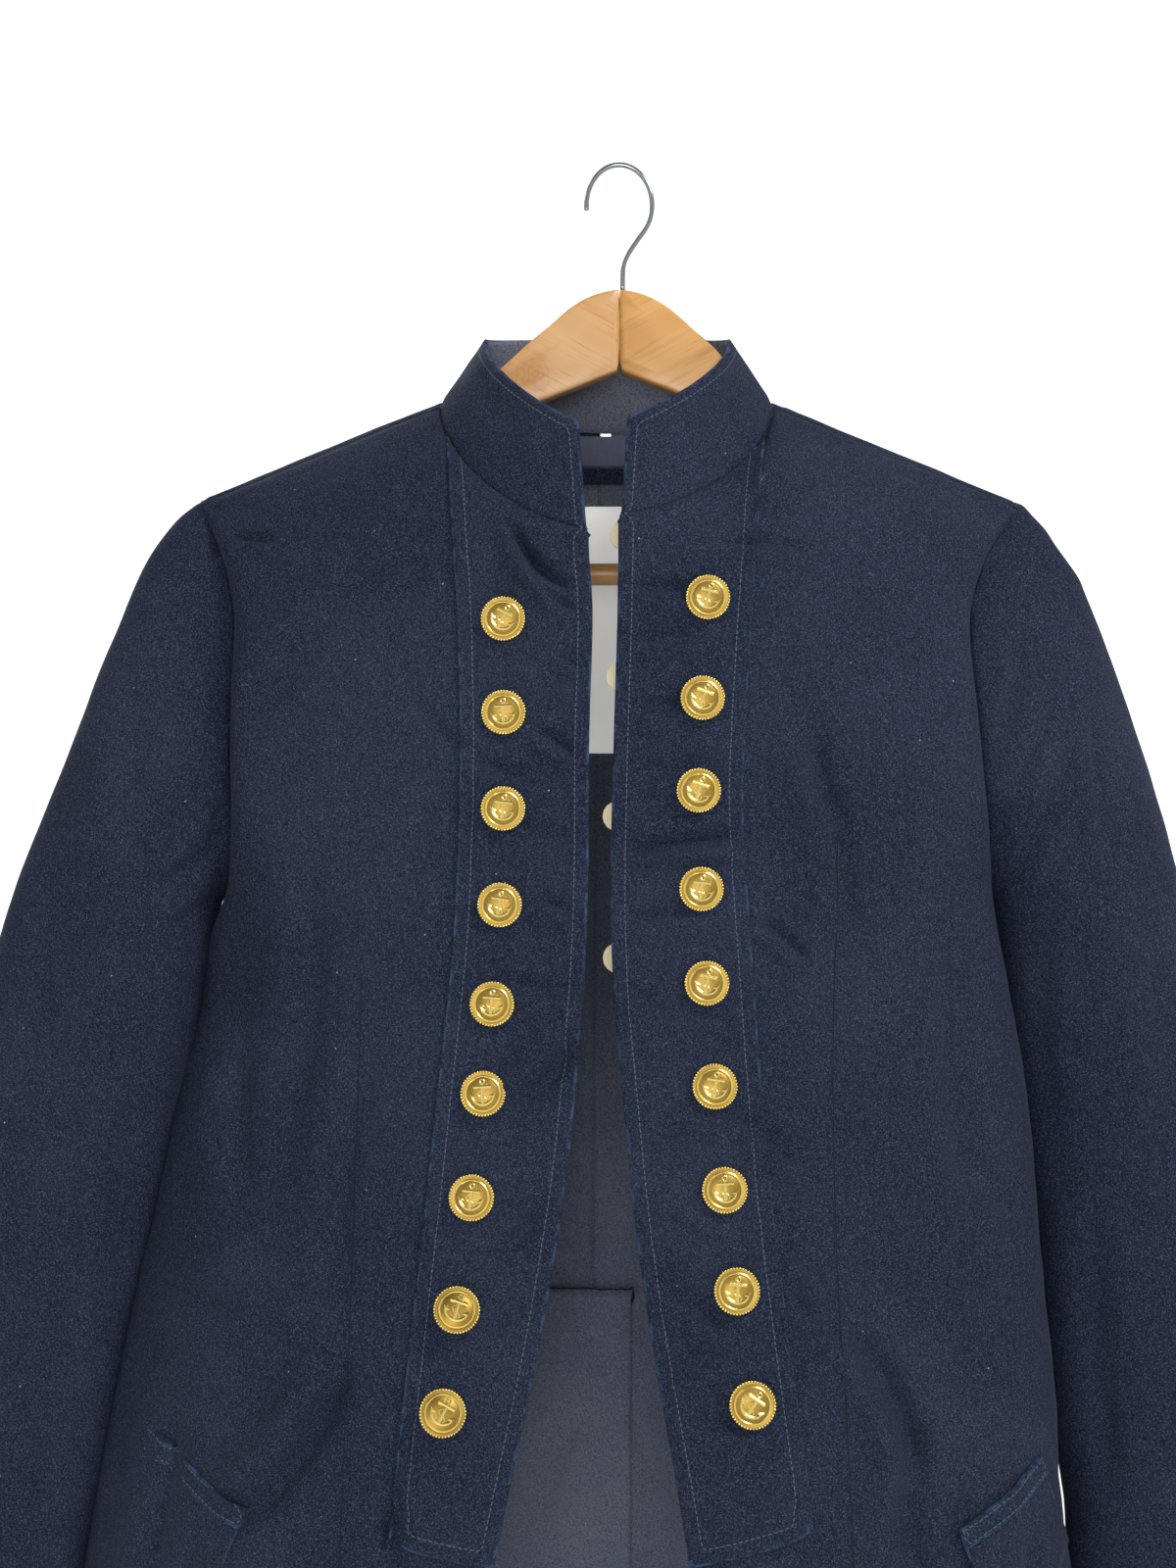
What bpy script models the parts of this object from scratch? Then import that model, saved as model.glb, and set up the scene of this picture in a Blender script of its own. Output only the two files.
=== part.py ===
"""A navy stand-collar military jacket, hung open on a wooden suit hanger.

The origin is the inside top of the hook, where a rail would carry it. +Z is up, the buttoned
front faces -Y, and left and right are the viewer's, looking at the front. Sizes are in
millimetres, a height is counted down from the origin, and "out" is counted outwards from the
hanger's middle on either side. Meshes are made in metres.
"""

import math
from collections import namedtuple

import bpy
import numpy as np

MM = 0.001
LEFT, RIGHT = -1, 1
SIDE_NAME = {LEFT: "left", RIGHT: "right"}

# Cloth and seams
CLOTH = 1.4
COLLAR_CLOTH = 2.4
BAND_CLOTH = 1.6
LIGHT_CLOTH = 1.0
SEAM_GAP = 0.3
LAY_GAP = 0.4
COLLAR_LIFT = 1.5
HEM_HEIGHT = 870.0
WAIST_SEAM_HEIGHT = 625.0
UNDERARM_HEIGHT = 391.0
NECK_SIDE_HEIGHT = 127.5
SHOULDER_SEAM_DROP = 4.5

# The cut of each front. A row is a height, and how far out the front edge, the outer edge of the
# buttoned band and the side (the armhole above the underarm, the side seam below it) lie there.
Cut = namedtuple("Cut", "height edge band side")
CUT = {
    LEFT: (
        Cut(127, 17.0, 97.0, 226.0),
        Cut(180, 17.0, 88.5, 226.0),
        Cut(209, 17.0, 86.0, 214.0),
        Cut(246, 14.5, 83.5, 204.5),
        Cut(321, 16.5, 82.0, 206.0),
        Cut(370, 16.5, 83.0, 205.0),
        Cut(391, 17.0, 84.0, 209.0),
        Cut(403, 17.4, 84.5, 214.0),
        Cut(420, 18.0, 85.5, 220.5),
        Cut(463, 21.0, 89.5, 231.5),
        Cut(510, 25.0, 94.0, 243.0),
        Cut(552, 30.5, 98.0, 250.0),
        Cut(612, 41.0, 104.0, 263.0),
        Cut(667, 53.0, 109.5, 274.0),
        Cut(743, 68.5, 116.0, 286.0),
        Cut(870, 88.0, 127.0, 301.0),
    ),
    RIGHT: (
        Cut(127, -1.0, 83.0, 216.0),
        Cut(182, -1.0, 71.5, 216.0),
        Cut(211, -1.5, 69.0, 197.0),
        Cut(250, -2.0, 66.5, 184.5),
        Cut(297, -3.5, 63.5, 189.0),
        Cut(345, -4.8, 61.5, 193.5),
        Cut(391, -5.6, 64.0, 199.0),
        Cut(445, -4.0, 67.5, 208.5),
        Cut(498, 1.0, 70.5, 216.0),
        Cut(545, 5.0, 74.0, 219.5),
        Cut(617, 15.5, 82.0, 225.0),
        Cut(681, 27.0, 89.5, 230.0),
        Cut(749, 37.0, 95.0, 235.0),
        Cut(870, 50.0, 105.0, 243.0),
    ),
}
BAND_END = {LEFT: (697.0, 709.0), RIGHT: (691.0, 709.0)}  # heights of its outer and inner corners
BAND_COLUMNS = 7
SIDE_SHARES = (0.11, 0.24, 0.38, 0.53, 0.68, 0.81, 0.91, 0.972, 1.0)  # from the neck to the side
CORNER_SHARE = 0.08
CORNER_HEIGHT = 133.0  # to here the column beyond the band keeps to the side of the neck
CORNER_EASE = 90.0
BACK_NECK_COLUMNS = 4

# The rows of the grids, as heights
UPPER_ROWS = 10
BACK_LOWER = (403, 415, 430, 450, 480, 515, 550, 590, WAIST_SEAM_HEIGHT)
SKIRT_HEIGHTS = (WAIST_SEAM_HEIGHT, 662, 688, 715, 745, 800, HEM_HEIGHT)
LOWER_HEIGHTS = BACK_LOWER + SKIRT_HEIGHTS[1:]
BAND_LAST_ROW = 688
BAND_TRIM = 1.8
ROW_CROWDING = 1.35  # how much closer the upper rows stand near the shoulder
OVER_SHOULDER = (4.5, 1.4, 0.0, 1.4, 4.5)  # height below the shoulder line, from front to back
BACK_UPPER = (0.06, 0.14, 0.24, 0.36, 0.5, 0.64, 0.78, 0.9, 1.0)

# How far the hanging body stands in front of the hanger, and behind it
Depth = namedtuple("Depth", "height front back")
DEPTH = (
    Depth(127, 62, 37),
    Depth(205, 64, 40),
    Depth(250, 60, 44),
    Depth(350, 60, 47),
    Depth(400, 63, 48),
    Depth(447, 67, 49),
    Depth(490, 76, 50),
    Depth(540, 87, 51),
    Depth(593, 98, 53),
    Depth(639, 107, 55),
    Depth(700, 118, 58),
    Depth(780, 128, 62),
    Depth(870, 135, 68),
)
SECTION_POWER = 3.2  # how square the body's section is
SECTION_EASE = {LEFT: 0.9, RIGHT: 0.0}  # and how much less so below the underarm
ARMHOLE_DEPTH = 31.0
SHOULDER_RADIUS = 7.0
SHOULDER_FALL = 45.0
NECK_FALL = 10.0
FALL_START = 45.0
FALL_WIDTH = 75.0
NECK_EASE = 28.0
SIDE_EASE = 60.0
SIDE_SEAM_BACK = {LEFT: 20.0, RIGHT: 2.0}  # how far behind the hanger the side seams swing

# The largest soft folds: a line across the body, its width, and how far it stands out
FOLD_START = 60.0
FOLD_SIDE = 0.06
Fold = namedtuple("Fold", "x_from height_from x_to height_to width rise")
FRONT_FOLDS = (
    Fold(-196, 440, -150, 560, 34, -3.0),
    Fold(-215, 560, -120, 640, 40, 4.0),
    Fold(-240, 640, -225, 868, 44, -6.0),
    Fold(-185, 700, -170, 868, 46, 6.0),
    Fold(-130, 720, -125, 868, 44, -5.0),
    Fold(30, 310, 150, 345, 30, 2.5),
    Fold(60, 560, 170, 640, 36, -3.0),
    Fold(120, 690, 125, 868, 46, -5.0),
    Fold(185, 640, 190, 868, 44, 6.0),
)
BACK_FOLDS = (
    Fold(-150, 250, -60, 330, 40, -4.0),
    Fold(150, 250, 60, 330, 40, -4.0),
    Fold(-170, 420, -185, 620, 46, 5.0),
    Fold(160, 420, 170, 620, 46, 5.0),
    Fold(-200, 650, -215, 868, 46, -8.0),
    Fold(-110, 650, -120, 868, 52, 8.0),
    Fold(100, 650, 105, 868, 52, 8.0),
    Fold(190, 650, 200, 868, 46, -8.0),
)

# The neck seam and the collar's top edge are rings round the neck
Ring = namedtuple("Ring", "middle half_width front back side_height back_height rise_power")
NECK_SEAM = Ring(-7.0, 90.5, 65.0, 38.0, 127.5, 137.0, 0.87)
COLLAR_TOP = Ring(-6.5, 67.5, 64.0, 33.0, 92.5, 85.0, 0.66)
NECK_FRONT_HEIGHT = {LEFT: 209.0, RIGHT: 201.0}
COLLAR_FRONT_HEIGHT = {LEFT: 157.0, RIGHT: 151.5}
COLLAR_FRONT_ANGLE = {LEFT: (7.0, 13.5), RIGHT: (4.5, 8.5)}  # degrees at the seam and at the top
COLLAR_COLUMNS = 21
COLLAR_RISES = (0.0, 0.2, 0.45, 0.72, 1.0)

# Sleeves. A row is a rung across the sleeve, seen from the front: where its outer and inner
# edges are, how far forward its middle lies, and half its depth from front to back.
Rung = namedtuple("Rung", "outer outer_height inner inner_height forward half_depth")
SLEEVE = {
    LEFT: (
        Rung(226.8, 180.0, 209.8, 391.6, 0, 31),
        Rung(240, 190, 214.5, 397, 1, 35),
        Rung(255.5, 213, 219, 403, 3, 38),
        Rung(271.5, 253, 222, 418, 5, 40),
        Rung(289, 298, 226.5, 442, 7, 41),
        Rung(310, 353, 232, 474, 8, 41),
        Rung(331, 408, 240, 510, 9, 40),
        Rung(347, 466, 249, 556, 10, 39),
        Rung(363, 530, 261, 608, 13, 37),
        Rung(376, 600, 272, 664, 18, 35),
        Rung(387, 672, 283, 722, 24, 32),
        Rung(397, 748, 293, 782, 30, 30),
    ),
    RIGHT: (
        Rung(216.8, 182.0, 199.8, 391.6, 0, 31),
        Rung(230, 191, 203, 397, -1, 35),
        Rung(245, 213, 206, 404, -2, 38),
        Rung(260, 245, 208, 418, -3, 40),
        Rung(276, 289, 211, 442, -4, 41),
        Rung(292, 340, 215, 474, -4, 41),
        Rung(306, 390, 219.5, 510, -3, 40),
        Rung(317, 452, 223.5, 556, -1, 39),
        Rung(329, 520, 229, 608, 3, 37),
        Rung(338, 592, 234, 664, 9, 35),
        Rung(345, 668, 239.5, 722, 16, 32),
        Rung(351, 746, 246, 782, 22, 30),
    ),
}
SLEEVE_GAP = 1.2
SLEEVE_AROUND = 22
SLEEVE_POWER = 0.86
SLEEVE_ROWS = 16
SLEEVE_EASE = 3.5

# Pocket flaps: how far out and how deep the two ends of the slanted upper edge lie
Pocket = namedtuple("Pocket", "inner inner_height outer outer_height")
POCKETS = {LEFT: Pocket(182, 688, 240, 664), RIGHT: Pocket(161, 695, 206, 670)}
FLAP_DROP = 52.0
FLAP_LEAN = 20.0
WELT_DROP = 9.0
FLAP_LIFT = 1.6
POCKET_COLUMNS = 8

# Buttons
BUTTON_RADIUS = 11.5
BUTTON_HEIGHT = 5.2
BUTTON_SEGMENTS = 14
BUTTON_PROFILE = (
    (0.0, 0.0),
    (9.6, 0.0),
    (BUTTON_RADIUS, 1.6),
    (10.6, 3.0),
    (9.2, 3.0),
    (5.2, 4.6),
    (0.0, BUTTON_HEIGHT),
)  # radius and height, from the back to the top of the dome
BUTTON_SEAT = 0.9  # clear of the band, for the shank and the curve of the cloth
BUTTON_PLACE = 0.665  # across the band, from the front edge
BUTTON_ROWS = {
    LEFT: (251.5, 299, 348, 397, 447, 491, 540.5, 592.5, 639),
    RIGHT: (240.5, 292, 338.5, 389, 436.5, 487.5, 537, 584, 635.5),
}
INNER_BUTTON_RADIUS = 7.8
INNER_BUTTON_THICKNESS = 2.2
InnerButton = namedtuple("InnerButton", "height behind")
INNER_BUTTONS = (
    InnerButton(208.5, 1.6),
    InnerButton(281, 0.4),
    InnerButton(352, 0.5),
    InnerButton(424, 0.95),
)
INNER_BUTTON_INSET = 3.2
INNER_BUTTON_SEGMENTS = 16

# Inside the back of the neck
CENTRE_BACK = -10.0
CENTRE_BACK_WAIST = -14.0
Patch = namedtuple("Patch", "name top bottom half_width lift cloth")
NECK_PATCHES = (
    Patch("neck_facing", 139.0, 155.5, 40.0, 0.9, "grey"),
    Patch("hanging_loop", 156.5, 166.0, 34.0, 2.4, "navy"),
    Patch("label", 178.5, 318.0, 22.0, 0.9, "white"),
)
PATCH_STEPS = (4, 8)
PATCH_CLOTH = 0.8
VENT_OVERLAP = 21.7
VENT_STEP = 3.2  # how far inside the right skirt the left one passes
VENT_RAMP = (0.36, 0.24)  # where that step ends and how wide its slope is, as parts of the width

# Hanger
WOOD_TOP = 67.0
WOOD_HALF_THICKNESS = 6.2
WOOD_EDGE = 2.2
Arm = namedtuple("Arm", "out top bottom")
WOOD_ARM = (
    Arm(0.2, 67.0, 112.0),
    Arm(12, 68.9, 116.6),
    Arm(24, 74.5, 121.2),
    Arm(36, 84.5, 125.8),
    Arm(48, 97.0, 130.4),
    Arm(62, 112.8, 136.0),
    Arm(72, 126.0, 141.0),
    Arm(80, 134.5, 146.0),
    Arm(98, 140.2, 153.5),
    Arm(140, 155.2, 171.0),
    Arm(180, 171.3, 188.0),
    Arm(203, 180.75, 196.5),
    Arm(209, 184.3, 194.5),
)
ARM_RISE = {LEFT: 5.85, RIGHT: 0.0}  # the left arm's end stands higher, under its higher shoulder
ARM_RISE_START = 90.0
ARM_RISE_WIDTH = 90.0
BAR_RADIUS = 6.2
BAR_HEIGHT = 221.5
BAR_HALF_LENGTH = 172.0
POST_OUT = 160.0
POST_RADIUS = 2.0
POST_CLEAR = 1.5
POST_SEGMENTS = 10
BAR_CHAMFER = 1.0
BAR_SEGMENTS = 16
HOOK_WIRE = 1.6
HOOK_RADIUS = 18.0
HOOK_RISE = 22.0
HOOK_OUT = 1.8
HOOK_STEM = ((0.0, WOOD_TOP), (0.0, 58.0), (0.6, 50.0))  # how far right of HOOK_OUT, and height
HOOK_ARC = (-50.0, 188.0)  # degrees, from the stem over the top to the tip
HOOK_STEPS = 18
HOOK_SIDES = 8


def smooth(value):
    """A ramp from 0 to 1 with soft ends."""
    value = min(1.0, max(0.0, value))
    return value * value * (3.0 - 2.0 * value)


def read(table, column, height):
    """A smooth reading of one column of a table at a height."""
    heights = [row.height for row in table]
    values = [getattr(row, column) for row in table]
    height = min(max(height, heights[0]), heights[-1])
    k = min(max(int(np.searchsorted(heights, height)) - 1, 0), len(heights) - 2)
    span = heights[k + 1] - heights[k]

    def slope(i):
        if i == 0 or i == len(heights) - 1:
            return (values[k + 1] - values[k]) / span
        before = (values[i] - values[i - 1]) / (heights[i] - heights[i - 1])
        after = (values[i + 1] - values[i]) / (heights[i + 1] - heights[i])
        return 0.0 if before * after <= 0 else 2 * before * after / (before + after)

    s = (height - heights[k]) / span
    return (
        (2 * s**3 - 3 * s**2 + 1) * values[k]
        + (s**3 - 2 * s**2 + s) * span * slope(k)
        + (3 * s**2 - 2 * s**3) * values[k + 1]
        + (s**3 - s**2) * span * slope(k + 1)
    )


def shoulder_height(side, out):
    """The height of the shoulder line, which falls from the neck to the top of the sleeve."""
    neck = neck_out(side)
    tip = SLEEVE[side][0]
    fall = (tip.outer_height - NECK_SIDE_HEIGHT) / (CUT[side][1].side - neck)
    return NECK_SIDE_HEIGHT + max(0.0, out - neck) * fall


def neck_edge(side, height):
    """How far forward the neck seam is where it passes a height, in front of the shoulder."""
    front_height = NECK_FRONT_HEIGHT[side]
    share = (front_height - height) / (front_height - NECK_SEAM.side_height)
    return -NECK_SEAM.front * (1 - share ** (1 / NECK_SEAM.rise_power))


def armhole_closing(height):
    """1 on the upper armhole, and 0 at the underarm and below."""
    middle = 0.5 * (CUT[LEFT][1].height + UNDERARM_HEIGHT)
    if height <= middle:
        return 1.0
    part = min(1.0, (height - middle) / (UNDERARM_HEIGHT - middle))
    return math.sqrt(max(0.0, 1.0 - part**4))


def fold_rise(folds, x, height):
    """How far the soft folds stand out at a place on the body."""
    rise = 0.0
    for fold in folds:
        along = np.array([fold.x_to - fold.x_from, fold.height_to - fold.height_from], float)
        place = np.array([x - fold.x_from, height - fold.height_from])
        part = float(place @ along / (along @ along))
        miss = place - min(1.0, max(0.0, part)) * along
        away = math.hypot(*miss) / (0.5 * fold.width)
        if away < 2.2:
            rise += fold.rise * math.exp(-away * away)
    return rise


def body_depth(side, part, out, height, front):
    """How far the body stands from the hanger, a part of the way from its middle to the side."""
    middle = read(DEPTH, "front" if front else "back", height)
    at_side = ARMHOLE_DEPTH * armhole_closing(height)
    power = section_power(side, height)
    round_side = max(0.0, 1.0 - part**power) ** (1.0 / power)
    full = at_side + (middle - at_side) * round_side
    below = max(0.0, height - shoulder_height(side, out))
    fall = NECK_FALL + (SHOULDER_FALL - NECK_FALL) * smooth((out - FALL_START) / FALL_WIDTH)
    edge = shoulder_edge(below) * (1.0 - part**4 * (1.0 - armhole_closing(height)))
    swing = (1.0 - round_side) * side_swing(side, height)
    return math.hypot(edge, full * (1.0 - math.exp(-below / fall))) + (-swing if front else swing)


def shoulder_edge(below):
    """The round of cloth over the shoulder: how far it has come forward, below its top."""
    if below >= SHOULDER_RADIUS:
        return SHOULDER_RADIUS
    return math.sqrt(max(0.0, 2 * SHOULDER_RADIUS * below - below**2))


def front_depth(side, part, height):
    """How far a front stands before the hanger."""
    return body_depth(side, part, column_out(side, part, height), height, True)


def back_depth(side, part, height):
    """How far the back stands behind the hanger."""
    return body_depth(side, part, back_out(side, part, height), height, False)


def section_power(side, height):
    """How square the body's section is: lower where a side strip turns back in a soft fold."""
    return SECTION_POWER - SECTION_EASE[side] * smooth((height - UNDERARM_HEIGHT) / SIDE_EASE)


def side_swing(side, height):
    """How far behind the hanger the side seam has swung, which starts at the underarm."""
    return SIDE_SEAM_BACK[side] * smooth((height - UNDERARM_HEIGHT) / SIDE_EASE)


def column_out(side, part, height):
    """How far out a column of a front lies, a part of the way from its edge to its side."""
    edge = read(CUT[side], "edge", height)
    return edge + part * (read(CUT[side], "side", height) - edge)


def ring_point(ring, side, angle, front_height):
    """A point of a neck ring, at an angle from the centre front."""
    cosine = math.cos(angle)
    x = ring.middle + side * ring.half_width * math.sin(angle)
    if cosine >= 0:
        y = -ring.front * cosine
        height = front_height + (ring.side_height - front_height) * (1 - cosine) ** ring.rise_power
    else:
        y = -ring.back * cosine
        height = ring.side_height + (ring.back_height - ring.side_height) * (-cosine) ** 1.5
    return np.array([x, y, -height])


def neck_angle(x):
    """The angle on the neck seam, from the centre front, at a place across."""
    return math.asin(min(1.0, abs(x - NECK_SEAM.middle) / NECK_SEAM.half_width))


def front_parts(side, height):
    """The columns of a front as parts of its width: the band's first, then on to the side."""
    edge = read(CUT[side], "edge", height)
    band = (read(CUT[side], "band", height) - edge) / (read(CUT[side], "side", height) - edge)
    inner = [band * math.sin(0.5 * math.pi * k / BAND_COLUMNS) for k in range(BAND_COLUMNS)]
    corner = (neck_out(side) - edge) / (read(CUT[side], "side", height) - edge)
    first = band + CORNER_SHARE * (1 - band)
    first += (corner - first) * (1.0 - smooth((height - CORNER_HEIGHT) / CORNER_EASE))
    return inner + [band, first] + [first + (1 - first) * share for share in SIDE_SHARES]


def front_top(side, column):
    """The top of a column of a front: on the neck seam, or on the shoulder seam beyond it."""
    height = 170.0
    for _ in range(24):
        out = column_out(side, front_parts(side, height)[column], height)
        angle = neck_angle(side * out)
        on_neck = ring_point(NECK_SEAM, side, angle, NECK_FRONT_HEIGHT[side])
        on_shoulder = shoulder_height(side, out) + SHOULDER_SEAM_DROP
        height = max(-on_neck[2], on_shoulder)
        if abs(side * out - NECK_SEAM.middle) > NECK_SEAM.half_width:
            height = on_shoulder
    if column == BAND_COLUMNS + 1:
        return on_shoulder, neck_edge(side, on_shoulder)
    return height, (on_neck[1] if -on_neck[2] >= on_shoulder else None)


def front_point(side, column, height, top):
    """A point on the outside of a front."""
    part = front_parts(side, height)[column]
    y = -front_depth(side, part, height)
    if top[1] is not None:
        start = -front_depth(side, front_parts(side, top[0])[column], top[0])
        y += (top[1] - start) * math.exp(-(height - top[0]) / NECK_EASE)
    x = side * column_out(side, part, height)
    away = smooth((height - top[0]) / FOLD_START) * smooth((1.0 - part) / FOLD_SIDE)
    return [x, y - away * fold_rise(FRONT_FOLDS, x, height), -height]


def front_heights(top_height):
    """The rows of a front, close together near the shoulder."""
    upper = [
        top_height + (UNDERARM_HEIGHT - top_height) * (k / UPPER_ROWS) ** ROW_CROWDING
        for k in range(UPPER_ROWS + 1)
    ]
    return upper + list(LOWER_HEIGHTS)


def front_grid(side):
    """The outside of a whole front, row by row."""
    columns = BAND_COLUMNS + 2 + len(SIDE_SHARES)
    tops = [front_top(side, column) for column in range(columns)]
    grid = np.zeros((UPPER_ROWS + 1 + len(LOWER_HEIGHTS), columns, 3))
    for column, top in enumerate(tops):
        for row, height in enumerate(front_heights(top[0])):
            grid[row, column] = front_point(side, column, height, top)
    return grid


def back_out(side, part, height):
    """How far out a column of the back lies, a part of the way from the centre to the side."""
    centre = side * (CENTRE_BACK + (CENTRE_BACK_WAIST - CENTRE_BACK) * smooth(height / 620.0))
    return centre + part * (read(CUT[side], "side", height) - centre)


def neck_out(side):
    """How far out the side of the neck seam lies."""
    return side * NECK_SEAM.middle + NECK_SEAM.half_width


def back_parts(side):
    """The columns of half a back as parts of its width. One of them is at the side of the neck."""
    centre = back_out(side, 0.0, NECK_SIDE_HEIGHT)
    whole = back_out(side, 1.0, NECK_SIDE_HEIGHT) - centre
    neck = (neck_out(side) - centre) / whole
    inner = [
        neck * math.sin(0.5 * math.pi * k / BACK_NECK_COLUMNS) for k in range(BACK_NECK_COLUMNS + 1)
    ]
    return inner + [neck + (1 - neck) * share for share in SIDE_SHARES]


def back_point(side, part, height, start=None):
    """A point on the outside of the back."""
    y = back_depth(side, part, height)
    if start is not None:
        y += (start[1] - back_depth(side, part, -start[2])) * math.exp((-start[2] - height) / NECK_EASE)
    x = side * back_out(side, part, height)
    top = -start[2] if start is not None else shoulder_height(side, abs(x))
    away = smooth((height - top) / FOLD_START) * smooth((1.0 - part) / FOLD_SIDE)
    return [x, y + away * fold_rise(BACK_FOLDS, x, height), -height]


def back_grid(side):
    """The outside of half of the upper back. Its top rows come forward over the shoulder."""
    rows = len(OVER_SHOULDER) + len(BACK_UPPER) + len(BACK_LOWER)
    parts = back_parts(side)
    grid = np.zeros((rows, len(parts), 3))
    for column, part in enumerate(parts):
        height = NECK_SIDE_HEIGHT
        for _ in range(24):
            out = back_out(side, part, height)
            height = shoulder_height(side, out)
        if column >= BACK_NECK_COLUMNS:
            lines = []
            for k, drop in enumerate(OVER_SHOULDER):
                level = height + drop
                edge = read(CUT[side], "edge", level)
                share = min(1.0, (out - edge) / (read(CUT[side], "side", level) - edge))
                y = -front_depth(side, share, level) if k < 2 else back_depth(side, part, level)
                if k < 2 and column == BACK_NECK_COLUMNS:
                    y = neck_edge(side, level)
                lines.append([side * out, y, -level])
            lines[2][1] = 0.0
            start = None
        else:
            angle = math.pi - neck_angle(side * out)
            seam = ring_point(NECK_SEAM, side, angle, NECK_FRONT_HEIGHT[side])
            lines = [seam + np.array([0.0, 0.25 * k, -1.6 * k]) for k in range(len(OVER_SHOULDER))]
            start = lines[-1]
        grid[: len(lines), column] = lines
        low = -lines[-1][2]
        for k, share in enumerate(BACK_UPPER):
            level = low + (UNDERARM_HEIGHT - low) * share
            grid[len(lines) + k, column] = back_point(side, part, level, start)
        for k, level in enumerate(BACK_LOWER):
            grid[len(lines) + len(BACK_UPPER) + k, column] = back_point(side, part, level, None)
    return grid


def normals(grid, closed=False):
    """Unit normals of a grid, each the cross product of its column and row directions."""
    down = np.gradient(grid, axis=0)
    if closed:
        across = (np.roll(grid, -1, axis=1) - np.roll(grid, 1, axis=1)) * 0.5
    else:
        across = np.gradient(grid, axis=1)
    cross = np.cross(down, across)
    length = np.linalg.norm(cross, axis=2, keepdims=True)
    return cross / np.maximum(length, 1e-9)


def outward(grid, towards, closed=False):
    """The grid's normals, turned to face a direction (or away from the middle of each row)."""
    unit = normals(grid, closed)
    if towards is None:
        towards = grid - grid.mean(axis=1, keepdims=True)
    return unit if (unit * towards).sum() > 0 else -unit


def square_side(out, grid, side):
    """Turns the walls' rims at a side seam to face straight out, so that two of them can meet."""
    below = -grid[:, -1, 2] > UNDERARM_HEIGHT - 3.0
    out[below, -1] = (side, 0.0, 0.0)
    return out


def trim(grid, top=0.0, bottom=0.0, first=0.0, last=0.0):
    """Draws the edges of a grid in along its own surface, which leaves a seam's gap."""
    grid = grid.copy()
    for amount, edge, inner in ((top, 0, 1), (bottom, -1, -2)):
        step = grid[inner] - grid[edge]
        grid[edge] += amount * step / np.linalg.norm(step, axis=1, keepdims=True)
    for amount, edge, inner in ((first, 0, 1), (last, -1, -2)):
        step = grid[:, inner] - grid[:, edge]
        grid[:, edge] += amount * step / np.linalg.norm(step, axis=1, keepdims=True)
    return grid


def make_mesh(name, points, faces, material):
    """An object from points in millimetres, shaded smooth."""
    mesh = bpy.data.meshes.new(name)
    mesh.from_pydata([tuple(MM * float(v) for v in point) for point in points], [], faces)
    mesh.update()
    mesh.shade_smooth()
    mesh.set_sharp_from_angle(angle=math.radians(40))
    obj = bpy.data.objects.new(name, mesh)
    bpy.context.scene.collection.objects.link(obj)
    obj.data.materials.append(material)
    obj.parent = garment
    return obj


def wall(name, outer, inner, material, closed=False):
    """A closed wall between two grids of the same shape, open at its rims' far sides."""
    rows, columns = outer.shape[:2]
    points = np.concatenate([outer.reshape(-1, 3), inner.reshape(-1, 3)])
    offset = rows * columns
    faces = []
    steps = columns if closed else columns - 1
    for r in range(rows - 1):
        for c in range(steps):
            a, b = r * columns + c, r * columns + (c + 1) % columns
            d, e = a + columns, b + columns
            faces.append((a, b, e, d))
            faces.append((offset + a, offset + d, offset + e, offset + b))
    for c in range(steps):
        a, b = c, (c + 1) % columns
        faces.append((a, offset + a, offset + b, b))
        d, e = (rows - 1) * columns + a, (rows - 1) * columns + b
        faces.append((d, e, offset + e, offset + d))
    if not closed:
        for r in range(rows - 1):
            a, d = r * columns, (r + 1) * columns
            faces.append((a, d, offset + d, offset + a))
            b, e = a + columns - 1, d + columns - 1
            faces.append((b, offset + b, offset + e, e))
    centre = outer - inner
    first = np.cross(outer[1, 0] - outer[0, 0], outer[0, 1] - outer[0, 0])
    if float(first @ centre[0, 0]) > 0:
        faces = [tuple(reversed(face)) for face in faces]
    return make_mesh(name, points, faces, material)


def make_material(name, colour, roughness, metallic=0.0):
    """A Principled material from an sRGB hex colour."""
    material = bpy.data.materials.new(name)
    material.use_nodes = True
    shader = material.node_tree.nodes["Principled BSDF"]
    channels = [int(colour[k:k + 2], 16) / 255 for k in (1, 3, 5)]
    linear = [c / 12.92 if c <= 0.04045 else ((c + 0.055) / 1.055) ** 2.4 for c in channels]
    shader.inputs["Base Color"].default_value = (*linear, 1.0)
    shader.inputs["Roughness"].default_value = roughness
    shader.inputs["Metallic"].default_value = metallic
    return material


def make_fronts():
    """The two fronts and the buttoned bands that lie on them. Returns the bands' outsides."""
    bands = {}
    for side in (LEFT, RIGHT):
        grid = trim(front_grid(side), top=2.5 * SEAM_GAP, last=SEAM_GAP)
        out = square_side(outward(grid, np.array([0.0, -1.0, 0.0])), grid, side)
        wall(f"front_{SIDE_NAME[side]}", grid, grid - CLOTH * out, cloths["navy"])
        end_row = UPPER_ROWS + 1 + LOWER_HEIGHTS.index(BAND_LAST_ROW)
        lay = grid[: end_row + 2, : BAND_COLUMNS + 1].copy()
        lay_out = out[: end_row + 2, : BAND_COLUMNS + 1]
        outer_end, inner_end = BAND_END[side]
        for column in range(BAND_COLUMNS + 1):
            before, after = lay[-2, column], lay[-1, column]
            end = inner_end + (outer_end - inner_end) * column / BAND_COLUMNS
            share = (end + before[2]) / (before[2] - after[2])
            lay[-1, column] = before + share * (after - before)
        under = trim(lay + LAY_GAP * lay_out, top=BAND_TRIM, first=SEAM_GAP)
        over = under + BAND_CLOTH * lay_out
        wall(f"band_{SIDE_NAME[side]}", over, under, cloths["navy"])
        bands[side] = (over, lay_out)
    return bands


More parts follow.
